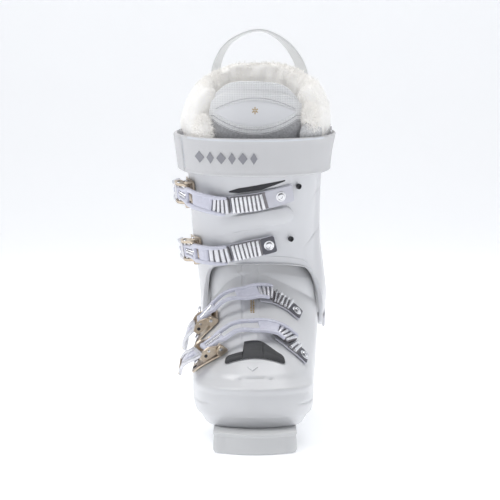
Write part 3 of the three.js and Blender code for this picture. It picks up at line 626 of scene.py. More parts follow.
def cuff_skin():
    """The cuff: relief on its walls, rounded rims above and below, and an inner skin."""
    places = np.arange(CUFF_COLUMNS) * 360 / CUFF_COLUMNS
    low = edge_on_surface(cuff_surface, places, CUFF_LOWER_EDGE, 120)
    high = edge_on_surface(cuff_surface, places, CUFF_UPPER_EDGE, 262)
    outer = []
    for share in np.linspace(0, 1, 170):
        z = low + 1.6 + (high - CUFF_RIM - low - 1.6) * share
        points = cuff_surface(places, z)
        lift = cuff_relief(z, points, low)
        outer.append(points + surface_normals(cuff_surface, places, z) * lift[:, None])
    top = rim_rows(cuff_surface, places, high, CUFF_WALL, CUFF_RIM)
    inner = [cuff_surface(places, high - CUFF_RIM - (high - CUFF_RIM - low - CUFF_HEM) * share, CUFF_WALL)
             for share in np.linspace(0, 1, 40)]
    under = []
    for angle in np.linspace(0, math.pi, 7)[1:-1]:
        inset = CUFF_WALL / 2 + (CUFF_WALL / 2) * math.cos(angle)
        under.append(cuff_surface(places, low + CUFF_HEM * (1 - math.sin(angle)), inset))
    piece = make_mesh("cuff_skin", *tube(outer + top + inner + under, ring=True), CUFF_WHITE, "cuff")
    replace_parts(piece, "cuff")


# ---- sole pads

def pad_outline(y_tip, y_end, bow, inset, corner=9.0):
    """Plan outline of a sole pad with a slightly bowed tip and rounded corners, the same way round for
    every inset."""
    half = SOLE_WIDTH / 2 - inset
    sign = 1 if y_tip < y_end else -1
    tip, end = y_tip + sign * inset, y_end - sign * inset
    points = []
    for x in np.linspace(-1, 1, 21):
        points.append((x * (half - corner), tip + sign * bow * x * x))
    shoulder = [(half - corner + corner * math.sin(a), tip + sign * (bow + corner * (1 - math.cos(a))))
                for a in np.linspace(0, math.pi / 2, 9)[1:]]
    rear = [(half - 5 + 5 * math.cos(a), end - sign * 5 * (1 - math.sin(a)))
            for a in np.linspace(0, math.pi / 2, 7)]
    right = shoulder + rear
    left = [(-x, y) for x, y in right[::-1]]
    return points + right + left


def sole_pad(name, y_tip, y_end, bow, node):
    """White lug block with softened edges and a bright lip where it meets the shell."""
    levels = [(0.0, 1.3), (1.2, 0.35), (2.4, 0.0), (8.0, 0.15), (14.6, 0.5), (15.2, 0.0), (16.9, 0.0),
              (17.5, 0.6)]
    rows = [[(x, y, z) for x, y in pad_outline(y_tip, y_end, bow, inset)] for z, inset in levels]
    piece = make_mesh(name, *tube(rows), SOLE_WHITE, "shell", smooth_angle=28)
    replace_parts(piece, node)


def tread_blocks(name, y_low, y_high, reach):
    """Rubber grip blocks let in flush with the ground face, in staggered rows."""
    parts = []
    count = 5
    pitch = (y_high - y_low) / count
    for row in range(count):
        middle = y_low + (row + 0.5) * pitch
        for column in (-1, 0, 1):
            x = column * reach * 0.68 + (3.0 if row % 2 else -3.0) * (column == 0)
            parts.append(rounded_block((x, middle, 0.55), reach * 0.27, pitch * 0.34, 0.5, 1.5))
    joined_piece(name, parts, SOLE_RUBBER, "shell")


def rounded_block(center, half_x, half_y, half_z, corner):
    """A block with rounded plan corners and a small bevel on both faces."""
    rows = []
    for z, inset in ((-half_z, 0.3), (-half_z + 0.3, 0.0), (half_z - 0.3, 0.0), (half_z, 0.3)):
        row = []
        for turn in range(24):
            angle = 2 * math.pi * (turn + 0.5) / 24
            cx = math.copysign(half_x - corner, math.cos(angle))
            cy = math.copysign(half_y - corner, math.sin(angle))
            row.append((center[0] + cx + (corner - inset) * math.cos(angle),
                        center[1] + cy + (corner - inset) * math.sin(angle), center[2] + z))
        rows.append(row)
    return tube(rows)


# ---- strips that lie on a surface

def catmull_rom(points, count):
    """Centripetal spline through points of any dimension, count steps in all."""
    points = np.asarray(points, float)
    padded = np.vstack([2 * points[0] - points[1], points, 2 * points[-1] - points[-2]])
    out = []
    for along in np.linspace(0, len(points) - 1, count + 1):
        i = min(int(along), len(points) - 2)
        corners = padded[i:i + 4]
        knots = [max(np.linalg.norm(b - a)**0.5, 1e-9) for a, b in zip(corners, corners[1:])]
        out.append(centripetal(along - i, corners, knots))
    return np.array(out)


def circle(sides):
    """Angles once round a circle."""
    return np.linspace(0, 2 * math.pi, sides, endpoint=False)


def unit(vectors):
    return vectors / np.linalg.norm(vectors, axis=-1, keepdims=True)


class Route:
    """A path over a surface from the outer to the inner side, in millimetres from where x is zero_x."""

    def __init__(self, surface, stops, zero_x, place_scale):
        plan = catmull_rom([(place / place_scale, z / 100) for place, z in stops], 160)
        places, z = plan[:, 0] * place_scale, plan[:, 1] * 100
        self.points = surface(places, z)
        self.normals = surface_normals(surface, places, z)
        steps = np.linalg.norm(np.diff(self.points, axis=0), axis=1)
        self.reach = np.concatenate([[0], np.cumsum(steps)])
        self.zero = 0.0
        self.zero = self.distance_at_x(zero_x)
        self.rigid = False

    def distance_at_x(self, x):
        """Distance of the last sample on the outer side of x."""
        return self.reach[np.max(np.nonzero(self.points[:, 0] < x)[0], initial=0)] - self.zero

    def wall_frame(self, distance):
        target = np.clip(np.atleast_1d(np.asarray(distance, float)) + self.zero, 0, self.reach[-1])

        def blend(values):
            return np.stack([np.interp(target, self.reach, values[:, k]) for k in range(3)], -1)

        point, normal = blend(self.points), unit(blend(self.normals))
        forward = blend(np.gradient(self.points, self.reach, axis=0))
        forward = unit(forward - np.sum(forward * normal, -1, keepdims=True) * normal)
        return point, normal, forward

    def frame_at(self, distance):
        """Points, normals, forward and side directions at one or many distances."""
        point, normal, forward = self.wall_frame(distance)
        if self.rigid:
            here = np.atleast_1d(np.asarray(distance, float))[:, None]
            middle, up, ahead = self.wall_frame(0.0)
            ease = smooth_step(15, 36, np.abs(here))
            point = (middle + ahead * here) * (1 - ease) + point * ease
            normal = unit(up * (1 - ease) + normal * ease)
            forward = ahead * (1 - ease) + forward * ease
            forward = unit(forward - np.sum(forward * normal, -1, keepdims=True) * normal)
        return point, normal, forward, np.cross(normal, forward)

    def straightened(self):
        """The same route, straight through its zero, as a rigid lever and bail need it."""
        stiff = Route.__new__(Route)
        stiff.__dict__.update(self.__dict__)
        stiff.rigid = True
        return stiff


def place_in(frame, along, across, up):
    point, normal, forward, side = frame
    return point + forward * np.asarray(along)[..., None] + side * np.asarray(across)[..., None] \
        + normal * np.asarray(up)[..., None]


def rounded_section(half, low, high, radius, corner_steps=4):
    """(across, up) points of a rectangle with rounded corners."""
    radius = max(min(radius, (high - low) * 0.48, half * 0.9), 0.02)
    points = []
    for corner, (cx, cy) in enumerate(((1, 1), (-1, 1), (-1, -1), (1, -1))):
        center = (cx * (half - radius), (high - radius) if cy > 0 else (low + radius))
        for step in range(corner_steps + 1):
            angle = math.pi / 2 * (corner + step / corner_steps)
            points.append((center[0] + radius * math.cos(angle), center[1] + radius * math.sin(angle)))
    return points


def rounded_strip(route, stations, radius=0.7, step=1.2, plan_radius=1.0):
    """A closed bar along a route through stations (at, low, high, half, middle); its ends are rounded
    off in plan by plan_radius."""
    table = np.array([(*station, 0.0)[:5] for station in stations], float)
    start, end = table[0, 0], table[-1, 0]
    count = max(2, int(round((end - start) / step)))
    bends = plan_radius * (1 - np.cos(np.linspace(0, math.pi / 2, 6)))
    at = np.unique(np.concatenate([start + bends, end - bends, table[:, 0],
                                   np.linspace(start + plan_radius, end - plan_radius, count)]).round(4))
    rows = []
    for distance in at:
        low, high, half, middle = (np.interp(distance, table[:, 0], table[:, k]) for k in range(1, 5))
        near = min(distance - start, end - distance)
        half_here = half - min(plan_radius, half * 0.96) * quarter_round(near / plan_radius)
        soft = min(radius, (high - low) * 0.45) * max(0, 1 - near / max(radius, 0.01))
        section = np.array(rounded_section(half_here, low + 0.5 * soft, high - soft, radius))
        across, up = section[:, 0] + middle, section[:, 1]
        rows.append(place_in(route.frame_at(distance), np.zeros(len(section)), across, up))
    return tube(rows)


def even_strip(route, start, end, section, *shape, **options):
    """A strip whose section (low, high, half) stays the same from start to end."""
    return rounded_strip(route, [(start, *section), (end, *section)], *shape, **options)


def cross_slab(frame, outline, across_from, across_to, bevel=0.3, steps=3):
    """A slab drawn in the (along, up) plane of a frame, with softened edges, running across it."""
    outline = np.asarray(outline, float)
    middle = outline.mean(0)
    size = np.abs(outline - middle).max()
    low, high = sorted((across_from, across_to))
    rows = []
    for turn in np.linspace(0, math.pi / 2, steps + 1):
        scale = 1 - bevel / size * (1 - math.cos(math.pi / 2 - turn))
        rows.append((low + bevel * (1 - math.sin(turn)), scale))
    rows = rows[::-1]
    rows += [(high - (across - low), scale) for across, scale in rows[::-1]]
    loops = []
    for across, scale in rows:
        loop = middle + (outline - middle) * scale
        loops.append(place_in(frame, loop[:, 0], np.full(len(loop), across), loop[:, 1]))
    return tube(loops)


def round_bar(frame, along, up, radius, half_length, sides=24, bevel=0.3):
    """A pin across a frame with bevelled ends."""
    turns = circle(sides)
    loops = []
    for across, size in ((-half_length, radius - bevel), (-half_length + bevel, radius),
                         (half_length - bevel, radius), (half_length, radius - bevel)):
        forward, rise = along + size * np.cos(turns), up + size * np.sin(turns)
        loops.append(place_in(frame, forward, np.full(sides, across), rise))
    return tube(loops)


def turned(frame, along, profile, sides=40, recess=None):
    """A head turned about the normal of a frame, profile as (radius, up) from its foot to its top. A
    recess (radius, depth, corners) sinks a socket with that many corners into the top."""
    turns = circle(sides)
    rings = [(np.full(sides, radius), up) for radius, up in profile]
    if recess:
        radius, depth, corners = recess
        swing = (turns * corners / (2 * math.pi)) % 1.0 - 0.5
        socket = radius * math.cos(math.pi / corners) / np.cos(swing * 2 * math.pi / corners)
        top = profile[-1][1]
        rings += [(socket, top), (socket * 0.96, top - depth * 0.15), (socket * 0.94, top - depth)]
    loops = [place_in(frame, along + size * np.cos(turns), size * np.sin(turns), np.full(sides, up))
             for size, up in rings]
    return tube(loops)


def smooth_outline(points, steps=6):
    """A closed outline through points, gently rounded."""
    points = np.asarray(points, float)
    ring = np.vstack([points[-1], points, points[0], points[1]])
    out = []
    for i in range(1, len(points) + 1):
        p0, p1, p2, p3 = ring[i - 1], ring[i], ring[i + 1], ring[(i + 2) % len(ring)]
        for step in range(steps):
            t = step / steps
            out.append(0.5 * (2 * p1 + (p2 - p0) * t + (2 * p0 - 5 * p1 + 4 * p2 - p3) * t * t
                              + (3 * p1 - p0 - 3 * p2 + p3) * t**3) * 0.35 + (p1 + (p2 - p1) * t) * 0.65)
    return np.array(out)


def rod_with_thread(route, start, end, up, radius, pitch=1.1):
    """A chromed adjusting screw along a route."""
    rows = []
    turns = circle(24)
    for distance in np.arange(start, end + 0.01, pitch / 6):
        wave = 0.5 + 0.5 * np.cos(turns - 2 * math.pi * distance / pitch)
        size = radius - 0.28 + 0.28 * wave
        across, rise = size * np.cos(turns), up + size * np.sin(turns)
        rows.append(place_in(route.frame_at(distance), np.zeros(len(turns)), across, rise))
    return tube(rows)


# ---- buckles

HINGE_UP = 6.5
BAIL_ALONG, BAIL_UP = -9.0, 11.0
SIDES = (-1, 1)
WIDE_HALF = 8.4
LEVER_CHEEK = [(-18, 6.5), (-18, 11.5), (-15, 13), (-12, 13.6), (-7.5, 13.4), (-1.2, 9.7), (2.3, 8.8),
               (3.3, 6.5), (2.3, 4.1), (0, 3.3), (-4, 4), (-12, 5)]
EAR = [(-5, 1.6), (4.5, 1.6), (3.4, 7.5), (1.4, 9.2), (-1.4, 9.2), (-3.4, 7.5)]


def buckle_base(name, route, frame, root, body):
    """Champagne plate with two ears, its rivet and the hinge pin of the lever."""
    widths = ((-root, 8), (-root + 6, 11), (4.5, 12.2))
    plate = rounded_strip(route, [(at, 0.7, 2.5, half) for at, half in widths], 0.5, plan_radius=4)
    rib = rounded_strip(route, [(-root + 16, 2.3, 3.3, 2.2), (-6, 2.3, 3.6, 3.2)], 0.5, plan_radius=1.8)
    ears = [cross_slab(frame, smooth_outline(EAR), side * 10.3, side * 12.2, 0.35) for side in SIDES]
    piece = joined_piece(f"{name}_base_plate", [plate, rib, *ears], CHAMPAGNE, body)
    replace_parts(piece, f"{name}_base")
    # Near-black discs and slots set into the plate paint the shade inside its holes.
    round_hole = [(1.9, 2.3), (1.9, 2.62), (1.5, 2.62)]
    holes = [turned(route.frame_at(-root + along), 0.0, round_hole) for along in (17, 23)]
    for side in SIDES:
        slot = [(-root + 3, 2.3, 2.64, 1.2, side * 5.5), (-root + 12, 2.3, 2.64, 1.2, side * 7.2)]
        holes.append(rounded_strip(route, slot, 0.1, plan_radius=1.1))
    joined_piece(f"{name}_base_hole_shade", holes, PAINTED_HOLE_SHADE, body)
    head = [(3.6, 2.6), (3.6, 3.3), (3.1, 4.1), (2.3, 4.5)]
    rivet = turned(route.frame_at(-root + 9), 0.0, head, recess=(1.5, 0.9, 6))
    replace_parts(make_mesh(f"{name}_base_screw", *rivet, CHROME, body), f"{name}_base_rivet")
    pin = joined_piece(f"{name}_hinge_bar", [round_bar(frame, 0, HINGE_UP, 1.5, 12.8)], CHROME, body)
    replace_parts(pin, f"{name}_hinge_pin")


def buckle_lever(name, route, frame, length, body):
    """Two satin rails joined at a rounded tip, with a recessed plate and thin coloured bars."""
    rails = []
    for side in SIDES:
        rail = [(-length + 3, 10.2, 12.4, 1.5, side * 5.2), (-length + 10, 10.4, 13.2, 1.8, side * 6.4),
                (-14.8, 10.4, 13.4, 1.9, side * 7.6)]
        rails.append(rounded_strip(route, rail, 0.8, plan_radius=1.5))
    tip = [(-length, 9.9, 12.1, 6.2), (-length + 3, 10.2, 12.7, 7.6), (-length + 9, 10.6, 12.9, 8)]
    tip = rounded_strip(route, tip, 0.9, plan_radius=4.6)
    cheeks = [cross_slab(frame, smooth_outline(LEVER_CHEEK), side * 7.4, side * 9.6, 0.45) for side in SIDES]
    bridge = rounded_strip(route, [(-18, 10.4, 12.8, 8.8), (-14.2, 10.4, 12.6, 8.8)], 0.6, plan_radius=1.2)
    frame_piece = joined_piece(f"{name}_lever_frame", [*rails, tip, bridge], LEVER_SATIN, body)
    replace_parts(frame_piece, f"{name}_lever")
    joined_piece(f"{name}_lever_cheeks", cheeks, CHAMPAGNE, body)
    # Near-black slabs on the cheeks paint the shade inside the lever's eyes.
    eye = [(-13.5 + 1.6 * math.cos(turn), 9.2 + 1.6 * math.sin(turn)) for turn in circle(20)]
    eyes = [cross_slab(frame, eye, side * 9.0, side * 9.72, 0.1) for side in SIDES]
    joined_piece(f"{name}_lever_eye_shade", eyes, PAINTED_HOLE_SHADE, body)
    plate = rounded_strip(route, [(-length + 7, 10.7, 11.9, 6), (-16.5, 10.7, 11.9, 6.4)], 0.3, plan_radius=1)
    ridge = [(-length + 13, 11.7, 12.6, 1.3), (-20, 11.7, 12.6, 1.9)]
    ridge = rounded_strip(route, ridge, 0.4, plan_radius=1.2)
    joined_piece(f"{name}_lever_plate", [plate, ridge], BAIL_WHITE, body)
    bars = [even_strip(route, -length + at, -length + at + 1.1, (12.2, 13.0 + 0.03 * at, 7.6), 0.2, 0.5, 0.5)
            for at in (5.4, 8.0)]
    joined_piece(f"{name}_lever_bars", bars, CHAMPAGNE, body)
    pin = joined_piece(f"{name}_bail_bar", [round_bar(frame, BAIL_ALONG, BAIL_UP, 1.3, 9.9)], CHROME, body)
    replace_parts(pin, f"{name}_bail_pin")


def buckle_bail(name, route, frame, hook_from, hook_to, body):
    """Plastic fork with a chromed adjusting screw in its neck, and the ribbed hook between its ends."""
    arm = WIDE_HALF - 1.5
    window_end = max(13, hook_from - 15)
    arms = []
    for side, short_by in ((-1, 4.0), (1, 1.5)):
        stations = [(-11.6, 8.7, 12.8, 1.5, side * 4.4), (3, 8.8, 12.2, 1.7, side * 4.4),
                    (8, 8, 11.4, 2.0, side * arm), (hook_from, 6.2, 9.2, 1.9, side * arm),
                    (hook_to - short_by, 5.6, 8.6, 1.3, side * (WIDE_HALF - 0.7))]
        arms.append(rounded_strip(route, stations, 1.0, plan_radius=1.3))
    cross = rounded_strip(route, [(5.0, 8.1, 11.6, 6.5), (9.4, 7.9, 11.2, 7.9)], 0.9, plan_radius=1.4)
    plate = [(window_end, 7.0, 9.0, 6.9), (hook_from + 1.0, 6.2, 8.5, 7.0)]
    plate = rounded_strip(route, plate, 0.7, plan_radius=1.2)
    barrel = round_bar(frame, BAIL_ALONG, BAIL_UP, 2.3, 5.4)
    fork = joined_piece(f"{name}_bail_fork", [*arms, cross, plate, barrel], BAIL_WHITE, body)
    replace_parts(fork, f"{name}_bail")
    joined_piece(f"{name}_bail_rod", [rod_with_thread(route, -7.0, 8.5, 10.9, 2.1)], CHROME, body)
    bed = [(hook_from - 3, 3.5, 5.4, 6), (hook_from + 1, 3.5, 6.2, 6.7), (hook_to - 0.4, 3.5, 6.0, 6.7)]
    bed = rounded_strip(route, bed, 0.4, plan_radius=0.8)
    piece = make_mesh(f"{name}_hook_bed", *bed, DARK_METAL, body)
    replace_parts(piece, f"{name}_hook")
    pitch = (hook_to - hook_from - 1.6) / 4
    ribs = []
    for tooth in range(4):
        start = hook_from + 1.4 + tooth * pitch
        ribs.append(even_strip(route, start, start + pitch * 0.74, (5.6, 7.9, 7.0), 0.7, 0.4, 0.7))
    joined_piece(f"{name}_hook_ribs", ribs, SATIN, body)


def buckle_ladder(name, route, hook_from, hook_to, teeth_end, plate_end, body, end_look):
    """A plastic bed with a dark inlay, chromed sloping teeth, and an end plate held by a screw."""
    bed = even_strip(route, hook_from + 1, plate_end, (0.9, 2.1, 8.4), 0.5, plan_radius=2.6)
    piece = make_mesh(f"{name}_ladder_bed", *bed, LADDER_WHITE, body)
    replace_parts(piece, f"{name}_ladder")
    inlay = even_strip(route, hook_to + 0.6, teeth_end + 1.2, (1.9, 2.5, 7.7), 0.2, plan_radius=0.8)
    end_plate = even_strip(route, teeth_end + 0.8, plate_end - 0.6, (2.0, 2.75, 7.7), 0.3, plan_radius=2.0)
    make_mesh(f"{name}_ladder_inlay", *inlay, DARK_METAL, body)
    make_mesh(f"{name}_ladder_end", *end_plate, end_look, body)
    teeth = []
    at = hook_to + 1.4
    while at + 3.2 <= teeth_end + 1.8:
        tooth = [(at, 2.3, 5.0, 7.3), (at + 0.7, 2.3, 5.6, 7.3), (at + 2.8, 2.3, 3.9, 7.3)]
        teeth.append(rounded_strip(route, tooth, 0.35, step=0.35, plan_radius=0.4))
        at += 3.6
    joined_piece(f"{name}_ladder_teeth", teeth, CHROME, body)
    middle = route.frame_at((teeth_end + plate_end) / 2 + 0.5)
    washer = turned(middle, 0.0, [(4.6, 2.6), (4.6, 3.0), (4.2, 3.2)])
    screw = turned(middle, 0.0, [(3.3, 3.0), (3.3, 4.0), (2.9, 4.5), (2.2, 4.8)], recess=(1.45, 1.0, 6))
    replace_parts(joined_piece(f"{name}_ladder_bolt", [washer, screw], CHROME, body), f"{name}_ladder_screw")


# Surface, its places per turn, lever length, x of the hinge, hook start and end, last tooth and ladder
# end, and the route's stops as (place, z).
BUCKLES = {
    "toe": (shell_surface, 1, 50, (-31, 18, 31, 36.5, 44.5), [
        (-0.26, 46), (-0.21, 53), (-0.163, 64), (-0.113, 75), (-0.075, 84), (-0.038, 89.5), (0.02, 92.3),
        (0.063, 90), (0.088, 85), (0.112, 77), (0.135, 68), (0.16, 58)]),
    "instep": (shell_surface, 1, 46, (-35, 2.5, 15.5, 31, 41), [
        (-0.3, 62), (-0.245, 70), (-0.2, 82), (-0.16, 94), (-0.13, 103), (-0.1, 108.5), (-0.048, 115.5),
        (0.013, 120), (0.05, 119.5), (0.087, 116.5), (0.115, 111.5), (0.135, 105.5), (0.16, 97), (0.19, 87)]),
    "ankle": (cuff_surface, 360, 48, (-49, -34, -20, 6, 18.5), [
        (130, 164), (165, 163), (200, 161), (227, 158.5), (243, 157.5), (258, 160), (274, 164.5), (292, 170),
        (315, 176)]),
    "shin": (cuff_surface, 360, 52, (-55, -35, -20.5, 10, 33.5), [
        (130, 221), (165, 218), (200, 213), (228, 206.5), (247, 202.5), (266, 204), (282, 208.5), (298, 213),
        (320, 220)]),
}


def buckle(which):
    """One buckle, laid along its route over the boot."""
    surface, place_scale, length, (hinge_x, *ladder_x), stops = BUCKLES[which]
    name = f"buckle_{which}"
    wall = "shell" if surface is shell_surface else "cuff"
    route = Route(surface, stops, hinge_x, place_scale)
    stiff = route.straightened()
    frame = route.frame_at(0.0)
    hook_from, hook_to, teeth_end, plate_end = (route.distance_at_x(x) for x in ladder_x)
    buckle_base(name, route, frame, min(34, length - 10), wall)
    buckle_lever(name, stiff, frame, length, f"lever_{which}")
    buckle_bail(name, stiff, frame, hook_from, hook_to, f"bail_{which}")
    end_look = LADDER_END_WHITE if which == "shin" else LADDER_DARK
    buckle_ladder(name, route, hook_from, hook_to, teeth_end, plate_end, wall, end_look)


# ---- small shell and cuff trim

def wall_frame_at(surface, place, z):
    """Frame on a wall: forward runs round the boot, side runs up or down it."""
    place, z = np.array([place], float), np.array([z], float)
    point, normal = surface(place, z), surface_normals(surface, place, z)
    step = place_step(surface)
    forward = unit(surface(place + step, z) - surface(place - step, z))
    return point, normal, forward, np.cross(normal, forward)


def place_on_front(surface, x, z, span, inset=0.0):
    """The place on the front half of a surface whose x is given."""
    low, high = span
    for _ in range(50):
        middle = (low + high) / 2
        if surface(middle, z, inset)[0] < x:
            low = middle
        else:
            high = middle
    return (low + high) / 2


def throat_gaiter():
    """Rubber crescent over the toe end of the overlap, in three ribbed sections."""
    reach = 0.072
    rows = []
    for place in np.linspace(-reach, reach, 120):
        fade = 1 - (place / reach)**2
        low = 68 + 5.5 * fade
        x = shell_surface(place, low + 5)[0]
        inner_end = 6.5 * smooth_step(2, 26, x)
        tall = 5.6 if x < -10.2 else 12.6 - inner_end
        swell = 1 - quarter_round((1 - abs(place) / reach) * 9)
        low += tall * 0.36 * (1 - swell)
        high = low + tall * (0.28 + 0.72 * swell)
        joint = 0.9 * max(bell(x, -10, 0.9), bell(x, 7, 0.9))
        loop = []
        for share in np.linspace(0, 1, 13):
            arch = math.sin(math.pi * share)
            rib = 0.25 * math.cos(share * math.pi * 8)
            up = 0.5 + (0.4 + 1.9 * arch**0.6 + rib * arch - joint * arch) * max(swell, 0.15)
            loop.append((low + (high - low) * share, up))
        for share in np.linspace(1, 0, 5)[1:-1]:
            loop.append((low + (high - low) * share, 0.3))
        z, up = np.array(loop).T
        places = np.full(len(z), place)
        rows.append(shell_surface(places, z) + surface_normals(shell_surface, places, z) * up[:, None])
    piece = make_mesh("gaiter", *tube(rows), SMOKE_GREY, "shell", smooth_angle=50)
    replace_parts(piece, "throat_gaiter")


SHELL_FRONT = (-0.12, 0.12)
CUFF_FRONT = (190.0, 350.0)


def shell_patch(outline, height):
    """A thin raised patch on the front of the shell; outline in (x, z)."""
    outline = np.asarray(outline, float)
    middle = outline.mean(0)
    rings = []
    for scale, up in ((1.0, -0.2), (1.0, 0.6), (0.93, 1.0), (0.5, 1.05), (0.02, 1.08)):
        rise = up * height if up > 0 else up
        ring = []
        for x, z in middle + (outline - middle) * scale:
            place = place_on_front(shell_surface, x, z, SHELL_FRONT)
            ring.append(shell_surface(place, z) + surface_normals(shell_surface, place, z) * rise)
        rings.append(ring)
    return tube(rings)


def front_details():
    """Toe emblem, gold ticks, and near-black pieces that paint the shade in the holes of the ladders and in
    the slot at the throat.
    """
    corners = np.array([(-2 + 4.6 * math.cos(turn), 67.5 + 3.0 * math.sin(turn)) for turn in circle(4)])
    sides = zip(corners, np.roll(corners, -1, 0))
    diamond = [a + (b - a) * share for a, b in sides for share in (0.06, 0.35, 0.65, 0.94)]
    joined_piece("toe_emblem", [shell_patch(diamond, 0.85)], SHELL_WHITE, "shell")

    ticks = []
    for row, z in enumerate(np.arange(107.5, 117.5, 1.25)):
        for x in (-3.4, -1.2):
            width = 0.75 if (row + (x > -2)) % 2 else 0.5
            box = [(x + width * across, z + 0.22 * up) for across, up in ((-1, -1), (1, -1), (1, 1), (-1, 1))]
            ticks.append(shell_patch(box, 0.62))
    joined_piece("gold_ticks", ticks, GOLD_PRINT, "shell")

    # Near-black plugs paint the shade inside the holes of the ladders.
    holes = []
    for x, z in ((40, 218), (33, 170.5)):
        place = place_on_front(cuff_surface, x, z, (250, 350))
        frame = wall_frame_at(cuff_surface, place, z)
        holes.append(turned(frame, 0.0, [(2.4, -2.0), (2.4, -0.1), (1.9, 0.06), (1.7, -1.2)], sides=28))
    joined_piece("ladder_hole_shade", holes, PAINTED_HOLE_SHADE, "cuff")

    # A near-black strip paints the shade in the slot at the throat.
    seam = Route(cuff_surface, [(230, 211.5), (247, 213.2), (266, 216.0), (282, 220.6), (300, 226)], 0.0, 360)
    at = [seam.distance_at_x(x) for x in (-23, -14, 6, 27)]
    slot = rounded_strip(seam, [(at[0], -0.9, 0.5, 0.6), (at[1], -0.9, 0.5, 2.2), (at[2], -0.9, 0.5, 2.4),
                                (at[3], -0.9, 0.4, 0.5)], 0.2, plan_radius=0.5)
    make_mesh("throat_slot_shade", *slot, PAINTED_HOLE_SHADE, "cuff")


# ---- pivots, spine bolts, sole screws

def fixed_frame(point, normal, forward, side):
    """A frame from plain tuples."""
    return tuple(np.array([vector], float) for vector in (point, normal, forward, side))


def pivot_rivets():
    """The two rivets the cuff turns on."""
    for side, sign, wall, tip in (("outer", -1, 51.3, 39.5), ("inner", 1, 63.8, 53.5)):
        frame = fixed_frame((sign * wall, PIVOT.y, PIVOT.z), (sign, 0, 0), (0, 1, 0), (0, 0, 1))
        shank = turned(frame, 0.0, [(3.6, tip - wall), (4.0, tip - wall + 0.5), (4.0, 0.8)], sides=36)
        profile = [(9.4, 0.8), (10, 1.3), (9.8, 2.2), (8.8, 3.0), (7.2, 3.3), (5.4, 3.25), (5.0, 2.9),
                   (4.6, 3.3)]
        head = turned(frame, 0.0, profile, sides=60, recess=(2.9, 1.6, 6))
        piece = joined_piece(f"pivot_{side}", [shank, head], SATIN, "shell")
        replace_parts(piece, f"pivot_rivet_{side}")


def spine_bolts():
    """The two bolts down the back of the cuff."""
    for name, z in (("lower", 124.0), ("upper", 152.0)):
        frame = wall_frame_at(cuff_surface, 90.0, z)
        frame = (frame[0], unit(np.array([[0.0, 1.0, 0.12]])), frame[2], frame[3])
        profile = [(6.0, 0.7), (6.2, 2.2), (5.9, 3.4), (5.0, 4.1), (3.9, 4.3)]
        head = turned(frame, 0.0, profile, sides=48, recess=(2.3, 1.6, 6))
        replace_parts(make_mesh(f"spine_bolt_{name}_head", *head, SATIN, "cuff"), f"spine_bolt_{name}")


def sole_screws():
    """Screw heads sunk in the ground faces of the sole pads."""
    for name in frame["nodes"]:
        if "sole_screw" not in name:
            continue
        low, high = (Vector(corner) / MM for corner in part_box(name))
        middle = (low + high) / 2
        radius = (high.x - low.x) / 2
        ground = fixed_frame((middle.x, middle.y, low.z), (0, 0, -1), (1, 0, 0), (0, -1, 0))
        profile = [(radius, low.z - high.z), (radius, -0.5), (radius - 0.5, 0.0)]
        screw = turned(ground, 0.0, profile, sides=36, recess=(radius * 0.55, 1.6, 6))
        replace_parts(make_mesh(f"{name}_head", *screw, DARK_METAL, "shell"), name)


def boot_inside():
    """The foam board and the felt footbed that lie in the shell."""
    for name, levels, inset, look, node in (
            ("board", (24.4, 24.9, 27.5, 28.0), SHELL_WALL + 1.6, BOARD_GREY, "boot_board"),
            ("insole", (33.4, 34.0, 36.4, 37.0), 14.7, FOOTBED, "footbed")):
        places = np.arange(200) / 200
        rows = [shell_surface(places, z, inset + edge) for z, edge in zip(levels, (0.6, 0.0, 0.0, 0.7))]
        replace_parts(make_mesh(name, *tube(rows), look, "shell"), node)


# ---- liner and tongue

LEG_LINER_LOWER = [(-90, 178), (-20, 172), (20, 156), (60, 140), (130, 132)]
FOOT_LINER_TOP = [(-60, 149), (0, 149), (30, 139), (60, 122), (120, 112)]


def wall_loop(surface, places, z_low, z_high, outside, inside, levels):
    """Rows of a padded wall between two places: out along one skin and back along the other."""
    rows = []
    for share in np.linspace(0, 1, levels):
        round_off = quarter_round(min(share, 1 - share) * levels / 5)
        z = z_low + (z_high - z_low) * share
        middle, half = (outside + inside) / 2, (inside - outside) / 2 * (1 - 0.75 * round_off)
        out = surface(places, z, middle - half)
        back = surface(places, z, middle + half)[::-1]
        rows.append(np.concatenate([out, back]))
    return rows


def liner_leg():
    """The shaft of the liner: a padded wall open at the front."""
    places = np.linspace(316, 584, 200)
    low = edge_on_surface(cuff_surface, places, LEG_LINER_LOWER, 150)
    high = edge_on_surface(cuff_surface, places, CUFF_UPPER_EDGE, 262) - 0.3
    rows = wall_loop(cuff_surface, places, low, high, CUFF_WALL + 0.7, 14.5, 60)
    piece = make_mesh("liner_leg", *tube(rows), LINER_GREY, "cuff")
    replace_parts(piece, "liner_cuff")


def liner_foot():
    """The foot of the liner: a padded shoe with a floor, its throat open for the tongue."""
    slot = 0.108
    places = np.linspace(slot, 1 - slot, 260)
    high = np.minimum(edge_on_surface(shell_surface, places, FOOT_LINER_TOP, 120), 149)
    upper = tube(wall_loop(shell_surface, places, 88.0, high, SHELL_WALL + 0.8, 13.5, 40))
    ring = np.arange(300) / 300
    wall = [(z, 5.8) for z in np.linspace(34, 89, 24)]
    outside = [(28.6, 9.0), (28.5, 6.4), (29.5, 5.8), *wall, (90.3, 7.2)]
    inside = [(z, 13.5) for z in (90.0, *np.linspace(88, 33.2, 22))]
    lower = tube([shell_surface(ring, z, inset) for z, inset in outside + inside])
    piece = joined_piece("liner_shoe", [lower, upper], LINER_GREY, "shell")
    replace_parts(piece, "liner_foot")


